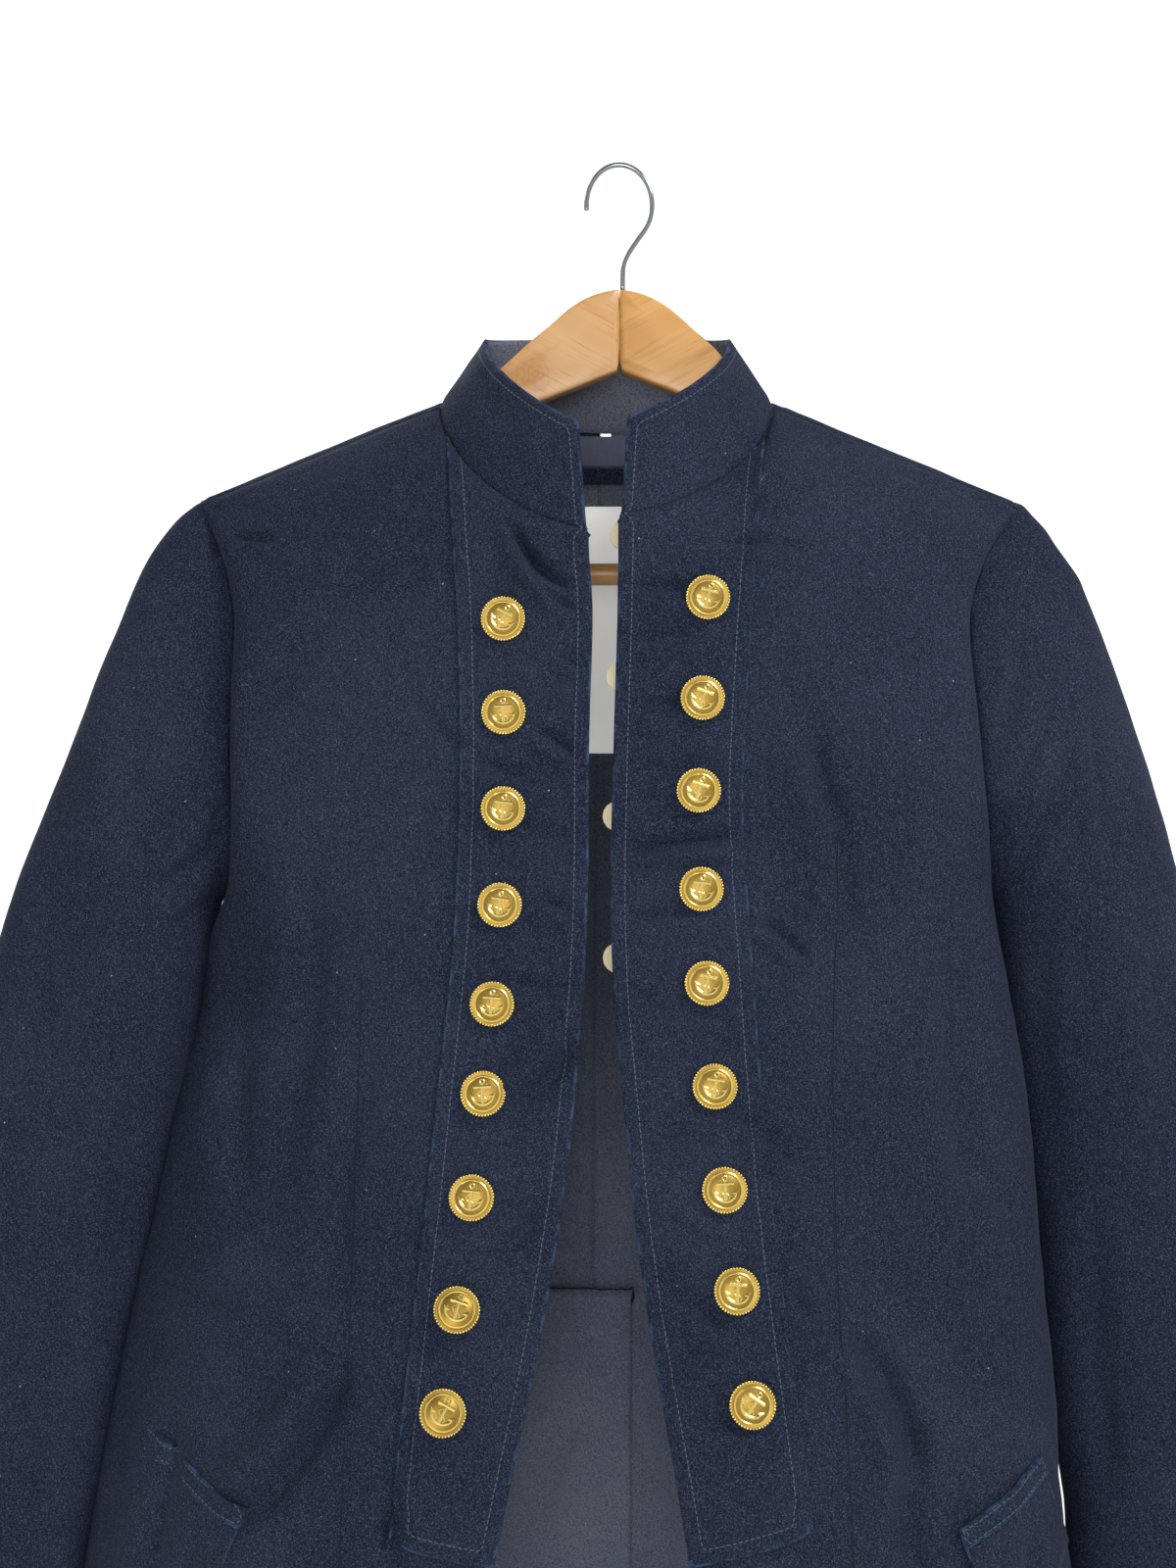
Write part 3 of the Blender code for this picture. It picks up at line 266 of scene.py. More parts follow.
class JacketColours(bpy.types.PropertyGroup):
    """The jacket's and the hanger's colours."""

    navy: colour_setting("Navy twill", "#161C2D", "The cloth's face")
    faded: colour_setting("Faded twill", "#202637", "The cloth where wash has lifted the dye")
    inside: colour_setting("Cloth's back", "#52566A", "The paler inside of the cloth")
    worn: colour_setting("Worn edges", "#33496A", "The dye rubbed thin along the edges")
    thread: colour_setting("Thread", "#4A566C", "The topstitching")
    facing: colour_setting("Facing", "#63657A", "The grey facing inside the neck")
    # The label's colour is also the colour of its painted glow, a slight emission
    label: colour_setting("Label", "#F2F2EF", "The bare label tape")
    horn: colour_setting("Horn", "#B7AC86", "The flat inner buttons")
    gilt: colour_setting("Gilt", "#E3CB78", "The bright metal of the buttons")
    gilt_ground: colour_setting("Gilt ground", "#94793A", "The duller ground behind the relief")
    oak: colour_setting("Oak", "#BC8E5A", "The hanger's wood")
    oak_grain: colour_setting("Oak grain", "#B98248", "The darker grain of the wood")


class JacketSizes(bpy.types.PropertyGroup):
    """Sizes of what is sewn."""

    stitch_pitch: length_setting("Stitch pitch", 0.0029, "From one stitch to the next")
    stitch_length: length_setting("Stitch length", 0.0022, "How long each stitch shows")
    thread_size: length_setting("Thread", 0.00055, "How thick the thread is")
    collar_inset: length_setting("Collar stitch inset", 0.005, "From the collar's edge")
    band_inset: length_setting("Band stitch inset", 0.007, "From the band's edge")
    hem_inset: length_setting("Hem stitch inset", 0.02, "From the hem or cuff")
    crease_share: bpy.props.FloatProperty(
        name="Creases", description="How deep the creases are", default=3.0, min=0.0, max=4.0)


class StageSizes(bpy.types.PropertyGroup):
    """The camera, the lights and the floor."""

    lens: bpy.props.FloatProperty(
        name="Lens", description="Focal length on a 36 mm film", default=40.5, min=10.0,
        unit="CAMERA")
    distance: length_setting("Camera distance", 0.96, "In front of the hanger")
    floor_depth: length_setting("Floor depth", 1.02, "Below the rail")
    key_power: bpy.props.FloatProperty(
        name="Key light", description="Watts", default=21.0, min=0.0)
    fill_power: bpy.props.FloatProperty(
        name="Fill light", description="Watts", default=13.0, min=0.0)
    paper_power: bpy.props.FloatProperty(
        name="Backdrop light", description="Watts", default=30.0, min=0.0)
    paper: colour_setting("Backdrop", "#F7F7F5", "The pale floor and backdrop")


def colours():
    """The colour settings of the scene."""
    return bpy.context.scene.jacket_colours


def sizes():
    """The size settings of the scene."""
    return bpy.context.scene.jacket_sizes


def add_node(tree, kind, settings=None, inputs=None):
    """Adds a node, with its settings, and its inputs as values or as (node, output) links."""
    node = tree.nodes.new(kind)
    for name, value in (settings or {}).items():
        setattr(node, name, value)
    for name, value in (inputs or {}).items():
        if isinstance(value, tuple) and isinstance(value[0], bpy.types.Node):
            tree.links.new(value[0].outputs[value[1]], node.inputs[name])
        else:
            node.inputs[name].default_value = value
    return node


def new_material(name, base, roughness, **sockets):
    """A Principled material with uniform values on the shader's own sockets."""
    material = bpy.data.materials.new(name)
    material.use_nodes = True
    shader = material.node_tree.nodes["Principled BSDF"]
    shader.inputs["Base Color"].default_value = base
    shader.inputs["Roughness"].default_value = roughness
    for socket, value in sockets.items():
        shader.inputs[socket.replace("_", " ")].default_value = value
    return material


def mixed(tree, share, first, second, mode="MIX"):
    """A colour mix of two colours or links, by a link or a number."""
    node = add_node(tree, "ShaderNodeMix", {"data_type": "RGBA", "blend_type": mode})
    for socket, value in ((node.inputs[0], share), (node.inputs[6], first), (node.inputs[7], second)):
        if isinstance(value, tuple) and isinstance(value[0], bpy.types.Node):
            tree.links.new(value[0].outputs[value[1]], socket)
        else:
            socket.default_value = value
    return node, 2


def scaled_coordinates(tree, scale):
    """Object coordinates, stretched."""
    place = add_node(tree, "ShaderNodeTexCoord")
    return add_node(tree, "ShaderNodeMapping", inputs={"Vector": (place, "Object"), "Scale": scale}), 0


def ramp(tree, link, low, high, first=0.0, second=1.0):
    """A smooth step of a link between two values."""
    node = add_node(
        tree, "ShaderNodeMapRange", {"interpolation_type": "SMOOTHSTEP"},
        {"Value": link, "From Min": low, "From Max": high, "To Min": first, "To Max": second})
    return node, 0


def twill(name, face, faded, light, deep, worn=None):
    """Washed cotton twill: a matt, fuzzy face with fine diagonal ribs, slubs along the warp,
    patches where the dye has lifted, pale lint, and edges rubbed to a lighter blue."""
    material = new_material(
        name, face, 0.92, Specular_IOR_Level=0.12, Sheen_Weight=0.05, Sheen_Roughness=0.45,
        Sheen_Tint=linear("#8C97B4"))
    tree = material.node_tree
    shader = tree.nodes["Principled BSDF"]
    plain = scaled_coordinates(tree, (1, 1, 1))
    washed = add_node(
        tree, "ShaderNodeTexNoise", inputs={"Vector": plain, "Scale": 11.0, "Detail": 3.0})
    body = mixed(tree, ramp(tree, (washed, 0), 0.38, 0.66), face, faded)
    slub_place = scaled_coordinates(tree, (1.0, 1.0, 0.05))
    slub = add_node(
        tree, "ShaderNodeTexNoise", inputs={"Vector": slub_place, "Scale": 420.0, "Detail": 2.0})
    body = mixed(tree, ramp(tree, (slub, 0), 0.35, 0.75, 0.0, 0.35), body, faded)
    # Painted highlights and painted shade: single fibres drawn lighter, as if they caught the light,
    # and the hollows between the ribs drawn dark
    grain = add_node(
        tree, "ShaderNodeTexNoise", inputs={"Vector": plain, "Scale": 1500.0, "Detail": 1.0})
    body = mixed(tree, ramp(tree, (grain, 0), 0.48, 0.7, 0.0, 0.7), body, light)
    dark = add_node(
        tree, "ShaderNodeTexNoise", inputs={"Vector": plain, "Scale": 1150.0, "Detail": 1.0})
    body = mixed(tree, ramp(tree, (dark, 0), 0.48, 0.66, 0.0, 0.7), body, deep)
    if worn is not None:
        edge = add_node(tree, "ShaderNodeAttribute", {"attribute_name": "free_edge"})
        rub = add_node(
            tree, "ShaderNodeTexNoise", inputs={"Vector": plain, "Scale": 160.0, "Detail": 3.0})
        near = ramp(tree, (edge, "Fac"), 0.0, 1.7, 1.0, 0.0)
        patchy = ramp(tree, (rub, 0), 0.42, 0.62)
        rubbed = add_node(
            tree, "ShaderNodeMath", {"operation": "MULTIPLY"}, {0: near, 1: patchy})
        body = mixed(tree, (rubbed, 0), body, worn)
    lint = add_node(
        tree, "ShaderNodeTexVoronoi", inputs={"Vector": plain, "Scale": 110.0, "Randomness": 1.0})
    speck = ramp(tree, (lint, "Distance"), 0.035, 0.05, 1.0, 0.0)
    chosen = add_node(tree, "ShaderNodeSeparateColor", inputs={"Color": (lint, "Color")})
    few = add_node(
        tree, "ShaderNodeMath", {"operation": "GREATER_THAN"}, {0: (chosen, 0), 1: 0.9})
    shown = add_node(tree, "ShaderNodeMath", {"operation": "MULTIPLY"}, {0: speck, 1: (few, 0)})
    body = mixed(tree, (shown, 0), body, linear("#8E97A8"))
    tree.links.new(body[0].outputs[body[1]], shader.inputs["Base Color"])
    rib_place = scaled_coordinates(tree, (1.0, 1.0, 0.55))
    rib = add_node(
        tree, "ShaderNodeTexWave", {"bands_direction": "DIAGONAL"},
        {"Vector": rib_place, "Scale": 260.0, "Distortion": 1.5, "Detail": 1.0})
    rumple = add_node(
        tree, "ShaderNodeTexNoise", inputs={"Vector": plain, "Scale": 70.0, "Detail": 3.0})
    rib_bump = add_node(
        tree, "ShaderNodeBump", inputs={"Height": (rib, 1), "Strength": 0.25, "Distance": 0.0003})
    bump = add_node(
        tree, "ShaderNodeBump",
        inputs={"Height": (rumple, 0), "Strength": 0.4, "Distance": 0.0012, "Normal": (rib_bump, 0)})
    tree.links.new(bump.outputs[0], shader.inputs["Normal"])
    return material


def plain_weave(name, colour):
    """Grey cotton facing: flat and matt, with a fine even grain."""
    material = new_material(name, colour, 0.9, Specular_IOR_Level=0.2)
    tree = material.node_tree
    place = scaled_coordinates(tree, (1.0, 1.0, 0.2))
    grain = add_node(tree, "ShaderNodeTexNoise", inputs={"Vector": place, "Scale": 900.0})
    body = mixed(tree, ramp(tree, (grain, 0), 0.3, 0.7, 0.0, 0.2), colour, linear("#3E4050"))
    tree.links.new(body[0].outputs[body[1]], tree.nodes["Principled BSDF"].inputs["Base Color"])
    return material


def gilt_metal(name, colour, roughness):
    """Stamped brass, gilt: a warm bright metal with a faint pitting that breaks its gloss."""
    material = new_material(name, colour, roughness, Metallic=1.0)
    tree = material.node_tree
    place = scaled_coordinates(tree, (1, 1, 1))
    pits = add_node(
        tree, "ShaderNodeTexNoise", inputs={"Vector": place, "Scale": 1400.0, "Detail": 2.0})
    bump = add_node(
        tree, "ShaderNodeBump", inputs={"Height": (pits, 0), "Strength": 0.35, "Distance": 0.0002})
    tree.links.new(bump.outputs[0], tree.nodes["Principled BSDF"].inputs["Normal"])
    return material


def varnished_oak(name, light, dark, warm, slope, knot=None):
    """Sawn and sanded wood under clear varnish: a honey ground, fine grain that runs down the
    arm, and a soft gloss on top."""
    material = new_material(name, light, 0.42, Coat_Weight=0.35, Coat_Roughness=0.25)
    tree = material.node_tree
    place = add_node(tree, "ShaderNodeTexCoord")
    turn = add_node(
        tree, "ShaderNodeMapping", {"vector_type": "POINT"},
        {"Vector": (place, "Object"), "Rotation": (0.0, slope, 0.0)})
    along = add_node(
        tree, "ShaderNodeMapping", inputs={"Vector": (turn, 0), "Scale": (0.07, 1.0, 1.0)})
    grain = add_node(
        tree, "ShaderNodeTexNoise",
        inputs={"Vector": (along, 0), "Scale": 210.0, "Detail": 5.0, "Distortion": 0.4})
    broad = add_node(
        tree, "ShaderNodeTexNoise", inputs={"Vector": (along, 0), "Scale": 55.0, "Detail": 2.0})
    body = mixed(tree, ramp(tree, (broad, 0), 0.35, 0.7, 0.0, 0.6), light, warm)
    body = mixed(tree, ramp(tree, (grain, 0), 0.5, 0.72, 0.0, 0.75), body, dark)
    pores_place = add_node(
        tree, "ShaderNodeMapping", inputs={"Vector": (turn, 0), "Scale": (0.03, 1.0, 1.0)})
    pores = add_node(
        tree, "ShaderNodeTexNoise", inputs={"Vector": (pores_place, 0), "Scale": 900.0})
    body = mixed(tree, ramp(tree, (pores, 0), 0.58, 0.75, 0.0, 0.5), body, linear("#8E5E30"))
    if knot is not None:
        away = add_node(
            tree, "ShaderNodeVectorMath", {"operation": "DISTANCE"},
            {0: (place, "Object"), 1: knot})
        wobble = add_node(
            tree, "ShaderNodeTexNoise", inputs={"Vector": (place, "Object"), "Scale": 90.0})
        rings = add_node(
            tree, "ShaderNodeMath", {"operation": "MULTIPLY_ADD"},
            {0: (wobble, 0), 1: 0.010, 2: (away, "Value")})
        ring = add_node(tree, "ShaderNodeMath", {"operation": "MULTIPLY"}, {0: (rings, 0), 1: 2100.0})
        wave = add_node(tree, "ShaderNodeMath", {"operation": "SINE"}, {0: (ring, 0)})
        strength = ramp(tree, (away, "Value"), 0.003, 0.016, 0.5, 0.0)
        halo = ramp(tree, (away, "Value"), 0.0, 0.014, 0.55, 0.0)
        body = mixed(tree, halo, body, linear("#A9713F"))
        seen = add_node(
            tree, "ShaderNodeMath", {"operation": "MULTIPLY"},
            {0: ramp(tree, (wave, 0), 0.1, 0.9), 1: strength})
        body = mixed(tree, (seen, 0), body, linear("#A87440"))
    tree.links.new(body[0].outputs[body[1]], tree.nodes["Principled BSDF"].inputs["Base Color"])
    return material


def smooth(value):
    """A ramp from 0 to 1 with soft ends, for numbers or arrays."""
    value = np.clip(value, 0.0, 1.0)
    return value * value * (3.0 - 2.0 * value)


def crease_lift(creases, x, height):
    """How far a table of creases lifts the cloth at places, in millimetres."""
    lift = np.zeros_like(x)
    for crease in creases:
        run = np.array([crease.to_x - crease.x, crease.to_height - crease.height], float)
        length = float(np.hypot(*run))
        along, across = run / length, np.array([-run[1], run[0]]) / length
        dx, dh = x - crease.x, height - crease.height
        part = (dx * along[0] + dh * along[1]) / length
        side = dx * across[0] + dh * across[1] - 4.0 * crease.bow * part * (1.0 - part)
        ends = smooth(part / 0.3 + 0.1) * smooth((1.0 - part) / 0.3 + 0.1)
        width = crease.width
        trough = np.exp(-((side / (0.55 * width)) ** 2))
        ridge = 0.75 * np.exp(-(((side - 1.25 * width) / (0.8 * width)) ** 2))
        lift += crease.depth * ends * (ridge - trough)
    return lift


def rumple_lift(points, rumples, seed):
    """How far the cloth's own unevenness lifts it, in millimetres."""
    return sum(
        rumple.height * noise_at(points * [1, 1, rumple.drawn_out], rumple.waves,
                                 seed + rumple.seed) for rumple in rumples)


def noise_at(points, scale, seed):
    """Smooth noise from -1 to 1 at points given in metres."""
    shift = Vector((seed * 3.17, seed * 1.71, seed * 0.93))
    return np.array([noise.noise(Vector(p) * scale + shift) for p in points])


class Wall:
    """A piece of cloth: a fine copy of a node's closed wall, and which way is outwards."""

    OUTER, INNER, RIM = 0, 1, 2

    def __init__(self, node, levels, middle=None):
        self.node = node
        bm = bmesh.new()
        bm.from_mesh(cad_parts[node].data)
        bmesh.ops.remove_doubles(bm, verts=bm.verts, dist=SAME_POINT)
        bmesh.ops.join_triangles(
            bm, faces=bm.faces, angle_face_threshold=math.radians(38),
            angle_shape_threshold=math.radians(75))
        sharp = math.radians(CLOTH_SHARP)
        crease = bm.edges.layers.float.new("crease_edge")
        for edge in bm.edges:
            if edge.calc_face_angle(0.0) > sharp:
                edge[crease] = 1.0
        for face in bm.faces:
            marked = [edge[crease] for edge in face.edges]
            thin = min(edge.calc_length() for edge in face.edges) < WALL_THIN
            centre = face.calc_center_median()
            away = centre - (middle(centre) if middle else self.axis(centre))
            if thin and sum(marked) >= 2 and self.is_rim(face, crease):
                face.material_index = self.RIM
            else:
                face.material_index = self.OUTER if face.normal.dot(away) > 0 else self.INNER
        self.settle_sides(bm, crease)
        mesh = bpy.data.meshes.new(node)
        bm.to_mesh(mesh)
        bm.free()
        obj = bpy.data.objects.new("coarse", mesh)
        bpy.context.scene.collection.objects.link(obj)
        for _ in range(3):
            mesh.materials.append(None)
        finer = obj.modifiers.new("finer", "SUBSURF")
        finer.levels = finer.render_levels = levels
        finer.boundary_smooth = "PRESERVE_CORNERS"
        bpy.context.view_layer.update()
        fine = bpy.data.meshes.new_from_object(
            obj.evaluated_get(bpy.context.evaluated_depsgraph_get()))
        bpy.data.objects.remove(obj)
        self.mesh = fine
        self.read()

    def settle_sides(self, bm, crease):
        """Gives each stretch of cloth between the rims one side, the one most of it faces."""
        seen = set()
        for first in bm.faces:
            if first in seen or first.material_index == self.RIM:
                continue
            region, waiting = [], [first]
            seen.add(first)
            while waiting:
                face = waiting.pop()
                region.append(face)
                for edge in face.edges:
                    for near in edge.link_faces:
                        if near in seen or near.material_index == self.RIM:
                            continue
                        if edge[crease] < 0.5:
                            seen.add(near)
                            waiting.append(near)
            outer = sum(f.calc_area() * (1 if f.material_index == self.OUTER else -1)
                        for f in region)
            for face in region:
                face.material_index = self.OUTER if outer > 0 else self.INNER

    @staticmethod
    def axis(place):
        """A point well inside the body, below and behind a place on the jacket."""
        return Vector((place.x * 0.3, 0.0, place.z - 0.05))

    @staticmethod
    def is_rim(face, crease):
        """Whether a face is one of the narrow ones between the two walls."""
        edges = [edge for edge in face.edges if edge[crease] > 0.5]
        short = min(edge.calc_length() for edge in face.edges)
        return any(edge.calc_length() > 1.2 * short for edge in edges) or len(edges) == 4

    def read(self):
        """Reads the fine mesh into arrays and finds the outward direction at each point."""
        mesh = self.mesh
        count = len(mesh.vertices)
        self.points = np.empty(count * 3)
        mesh.vertices.foreach_get("co", self.points)
        self.points = self.points.reshape(-1, 3)
        kinds = np.empty(len(mesh.polygons), int)
        mesh.polygons.foreach_get("material_index", kinds)
        normals = np.empty(len(mesh.polygons) * 3)
        mesh.polygons.foreach_get("normal", normals)
        normals = normals.reshape(-1, 3)
        loops = np.empty(len(mesh.loops), int)
        mesh.loops.foreach_get("vertex_index", loops)
        starts = np.empty(len(mesh.polygons), int)
        mesh.polygons.foreach_get("loop_start", starts)
        totals = np.empty(len(mesh.polygons), int)
        mesh.polygons.foreach_get("loop_total", totals)
        owner = np.repeat(np.arange(len(starts)), totals)
        weight = np.where(kinds == self.OUTER, 1.0, np.where(kinds == self.INNER, -1.0, 0.0))
        out = np.zeros((count, 3))
        np.add.at(out, loops, normals[owner] * weight[owner][:, None])
        edges = np.empty(len(mesh.edges) * 2, int)
        mesh.edges.foreach_get("vertices", edges)
        edges = edges.reshape(-1, 2)
        for _ in range(4):
            empty = np.linalg.norm(out, axis=1) < 1e-6
            if not empty.any():
                break
            near = np.zeros_like(out)
            np.add.at(near, edges[:, 0], out[edges[:, 1]])
            np.add.at(near, edges[:, 1], out[edges[:, 0]])
            out[empty] = near[empty]
        self.out = out / np.maximum(np.linalg.norm(out, axis=1, keepdims=True), 1e-9)
        self.kinds, self.loops, self.owner = kinds, loops, owner
        rim_faces = kinds == self.RIM
        self.rim = np.unique(loops[rim_faces[owner]])

    def write(self):
        """Puts the moved points back into the mesh."""
        self.mesh.vertices.foreach_set("co", self.points.ravel())
        self.mesh.update()

    def millimetres(self):
        """The points' places across and heights, in millimetres."""
        return self.points[:, 0] / MM, -self.points[:, 2] / MM

    def away_from(self, places, cap=40.0):
        """How far each point is from the nearest of some places, in millimetres."""
        if not len(places):
            return np.full(len(self.points), cap)
        tree = KDTree(len(places))
        for k, place in enumerate(places):
            tree.insert(place, k)
        tree.balance()
        return np.array([min(cap, tree.find(p)[2] / MM) for p in self.points])

    def split_rims(self, others, reach=SEWN_REACH):
        """The points of the rims that are sewn to other pieces, and those that are free."""
        tree = KDTree(sum(len(other.rim) for other in others) or 1)
        k = 0
        for other in others:
            for index in other.rim:
                tree.insert(other.points[index], k)
                k += 1
        tree.balance()
        rim = self.points[self.rim]
        if k == 0:
            self.sewn = self.rim[:0]
            self.to_other = np.zeros((0, 3))
            return rim[:0], rim
        to_other = np.array([tree.find(p)[0] for p in rim]) - rim
        sewn = np.linalg.norm(to_other, axis=1) < reach
        self.sewn = self.rim[sewn]
        self.to_other = to_other[sewn]
        return rim[sewn], rim[~sewn]

    def close_seams(self):
        """Brings the sewn edges out over the gap, so that no light passes between two pieces."""
        mesh = self.mesh
        normals = np.empty(len(mesh.polygons) * 3)
        mesh.polygons.foreach_get("normal", normals)
        normals = normals.reshape(-1, 3)
        used = (self.kinds == self.RIM)[self.owner]
        out = np.zeros_like(self.points)
        np.add.at(out, self.loops[used], normals[self.owner[used]])
        out /= np.maximum(np.linalg.norm(out, axis=1, keepdims=True), 1e-9)
        out = out[self.sewn]
        gap = (out * self.to_other).sum(axis=1)
        straight = gap / np.maximum(np.linalg.norm(self.to_other, axis=1), 1e-9)
        reach = SEAM_SHARE * np.maximum(gap, 0.0) + SEAM_LAP * MM
        # In front, an edge that runs on past a seam's end stays where it is
        facing = np.where(self.points[self.sewn][:, 1] > 0.0, 0.02, 0.35)
        self.points[self.sewn] += out * (reach * smooth((straight - facing) / 0.1))[:, None]

    def finish(self, name, materials, slot, free):
        """Makes the piece's object, with its distance to a free edge kept for the stitches."""
        mesh = self.mesh
        mesh.name = name
        mesh.materials.clear()
        for material in materials:
            mesh.materials.append(material)
        kinds = np.where(self.kinds == self.INNER, len(materials) - 1, 0)
        mesh.polygons.foreach_set("material_index", kinds)
        attribute = mesh.attributes.new("free_edge", "FLOAT", "POINT")
        self.free = self.away_from(free)
        attribute.data.foreach_set("value", self.free)
        self.write()
        mesh.shade_smooth()
        mesh.set_sharp_from_angle(angle=math.radians(SHADED_SHARP))
        obj = bpy.data.objects.new(name, mesh)
        bpy.context.scene.collection.objects.link(obj)
        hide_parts(self.node)
        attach(obj, "root")
        self.obj = obj
        return obj


walls = {}
finishes = {}


def make_materials():
    """The jacket's and the hanger's materials, made once."""
    if finishes:
        return
    c = colours()
    # The last two colours of each twill are its painted fibre highlights and the painted shade in its
    # rib hollows
    finishes["face"] = twill(
        "navy_cotton_twill_face", c.navy, c.faded, linear("#485068"), linear("#080B14"), c.worn)
    finishes["back"] = twill(
        "navy_cotton_twill_back", c.inside, linear("#5E6270"), linear("#787B8C"),
        linear("#3C3F4A"))
    finishes["facing"] = plain_weave("grey_cotton_facing", c.facing)
    # Woven label tape: smooth, matt and white, with a painted glow: a slight white emission that
    # stands in for the light falling on it, though it is no lamp
    finishes["label"] = new_material(
        "white_label_tape", c.label, 0.75, Emission_Color=c.label, Emission_Strength=0.3)
    # Cotton thread: matt, and paler than the cloth where the dye has washed out
    finishes["thread"] = new_material("washed_cotton_thread", c.thread, 0.85)
    # Painted shadow for the darts: a dark cloth colour, laid as a thin tube along each dart where the
    # seam turns in and shade falls
    finishes["crack"] = new_material("seam_shadow_cloth", linear("#0B0E17"), 1.0)
    # Polished horn: dull olive with a low gloss
    finishes["horn"] = new_material("olive_horn", c.horn, 0.38)
    finishes["gilt"] = gilt_metal("gilt_brass_relief", c.gilt, 0.24)
    finishes["ground"] = gilt_metal("gilt_brass_ground", c.gilt_ground, 0.42)
    finishes["oak_left"] = varnished_oak(
        "varnished_oak_left", c.oak, c.oak_grain, linear("#C79A6A"), math.radians(-28),
        (-0.046, -0.0062, -0.1145))
    finishes["oak_right"] = varnished_oak(
        "varnished_oak_right", linear("#BE8844"), linear("#9C6630"), linear("#C99A58"),
        math.radians(28))
    finishes["oak_bar"] = varnished_oak(
        "varnished_oak_bar", linear("#D09A58"), linear("#A06A30"), linear("#D9A866"), 0.0)
    # Chromed steel wire: a clear mirror with dark edges
    finishes["chrome"] = new_material("chromed_steel", linear("#8E9197"), 0.16, Metallic=1.0)


def edge_reader(node, side, outer):
    """A function that gives how far out a band's outer or front edge is at a height."""
    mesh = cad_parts[node].data
    points = np.array([v.co for v in mesh.vertices]) / MM
    heights = np.arange(-points[:, 2].max() + 2, -points[:, 2].min() - 2, 8.0)
    found = []
    for height in heights:
        near = points[np.abs(-points[:, 2] - height) < 24.0]
        out = near[:, 0] * side
        found.append(out.max() if outer else out.min())
    return lambda height: np.interp(height, heights, found)


def body_lift(wall, creases, seed):
    """How far the cloth of the body stands out from its plain form, in millimetres."""
    x, height = wall.millimetres()
    lift = crease_lift(creases, x, height) * sizes().crease_share
    return lift + rumple_lift(wall.points, BODY_RUMPLES, seed)


def pucker_lift(wall, side, edges):
    """Small puckers that the topstitching pulls into the cloth beside the band's two edges."""
    x, height = wall.millimetres()
    lift = np.zeros_like(x)
    for k, (reader, reach, rise) in enumerate(edges):
        away = side * x - reader(height)
        beat = noise_at(np.stack([height * 0, height * 0 + k, height], axis=1), 0.115, 11 + k)
        beat = np.sign(beat) * np.abs(beat) ** 0.75
        lift += rise * beat * np.exp(-np.abs(away) / reach)
    return lift


def move(wall, lift):
    """Moves the cloth outwards by a lift in millimetres."""
    wall.points += wall.out * lift[:, None] * MM
    wall.write()


class JACKET_OT_body(bpy.types.Operator):
    """Fronts, buttoned bands, pockets, upper back and back skirts"""

    bl_idname = "jacket.body"
    bl_label = "Body"

    def execute(self, context):
        """Dresses the body's panels and keeps them for the stitches."""
        make_materials()
        names = [f"{part}_{side}" for side in SIDES for part in (
            "front", "band", "back", "skirt", "pocket_flap", "pocket_welt")]
        for name in names:
            walls[name] = Wall(name, 2 if name.startswith("pocket") else 3)
        for name in ("sleeve_left", "sleeve_right", "collar"):
            walls[name] = Wall(
                name, 3 if "sleeve" in name else 2,
                sleeve_middle(name) if "sleeve" in name else neck_middle)
        rims = {}
        for name, wall in walls.items():
            if name.startswith(("band", "pocket")):
                others = [walls["collar"]]
            elif name == "collar":
                others = [w for n, w in walls.items() if n.startswith(("front", "back", "band"))]
            else:
                others = [w for n, w in walls.items()
                          if n != name and not n.startswith(("band", "pocket"))]
            rims[name] = wall.split_rims(others)
        lifts = {}
        for side, sign in SIDES.items():
            readers = [(edge_reader(f"band_{side}", sign, outer), *pucker)
                       for outer, pucker in BAND_PUCKERS]
            sewn = rims[f"front_{side}"][0]
            for part in ("front", "band", "pocket_flap", "pocket_welt"):
                wall = walls[f"{part}_{side}"]
                lift = body_lift(wall, FRONT_CREASES, 1) + pucker_lift(wall, sign, readers)
                lifts[wall.node] = lift * smooth(wall.away_from(sewn) / BODY_FADE)
        for part, seed in (("back", 2), ("skirt", 2)):
            for side in SIDES:
                wall = walls[f"{part}_{side}"]
                sewn = rims[f"back_{side}"][0] if part == "back" else rims[f"skirt_{side}"][0]
                lift = body_lift(wall, BACK_CREASES, seed)
                lifts[wall.node] = lift * smooth(wall.away_from(sewn) / BODY_FADE)
        for side, sign in SIDES.items():
            for part in ("front", "back", "skirt", "sleeve"):
                wall = walls[f"{part}_{side}"]
                x, height = wall.millimetres()
                reach = np.interp(height, *zip(*SIDE_MEETING[side]))
                turned = wall.out[:, 0] * sign * (-1 if part == "sleeve" else 1)
                near = smooth((turned - 0.1) / 0.7)
                wall.points[:, 0] += sign * (-1 if part == "sleeve" else 1) * near * reach * MM
        for name in ("sleeve_left", "sleeve_right"):
            wall = walls[name]
            front = wall.points[:, 1] < wall_middle_y(wall)
            x, height = wall.millimetres()
            lift = crease_lift(SLEEVE_CREASES, x, height) * np.where(front, 1.0, 0.7)
            lift += rumple_lift(wall.points, SLEEVE_RUMPLES, 3)
            lifts[name] = lift * smooth(wall.away_from(rims[name][0]) / SLEEVE_FADE)
        wall = walls["collar"]
        x, height = wall.millimetres()
        lift = crease_lift(COLLAR_CREASES, x, height) * (wall.points[:, 1] < 0)
        lift += rumple_lift(wall.points, COLLAR_RUMPLES, 4)
        lifts["collar"] = lift * smooth(wall.away_from(rims["collar"][0]) / COLLAR_FADE)
        for name, wall in walls.items():
            seam = wall.away_from(rims[name][0])
            wall.close_seams()
            move(wall, lifts[name] - SEAM_DEPTH * np.exp(-((seam / SEAM_WIDTH) ** 2)))
            wall.finish(
                f"cloth_{name}", [finishes["face"], finishes["back"]], "navy_cotton_twill",
                rims[name][1])
        return {"FINISHED"}


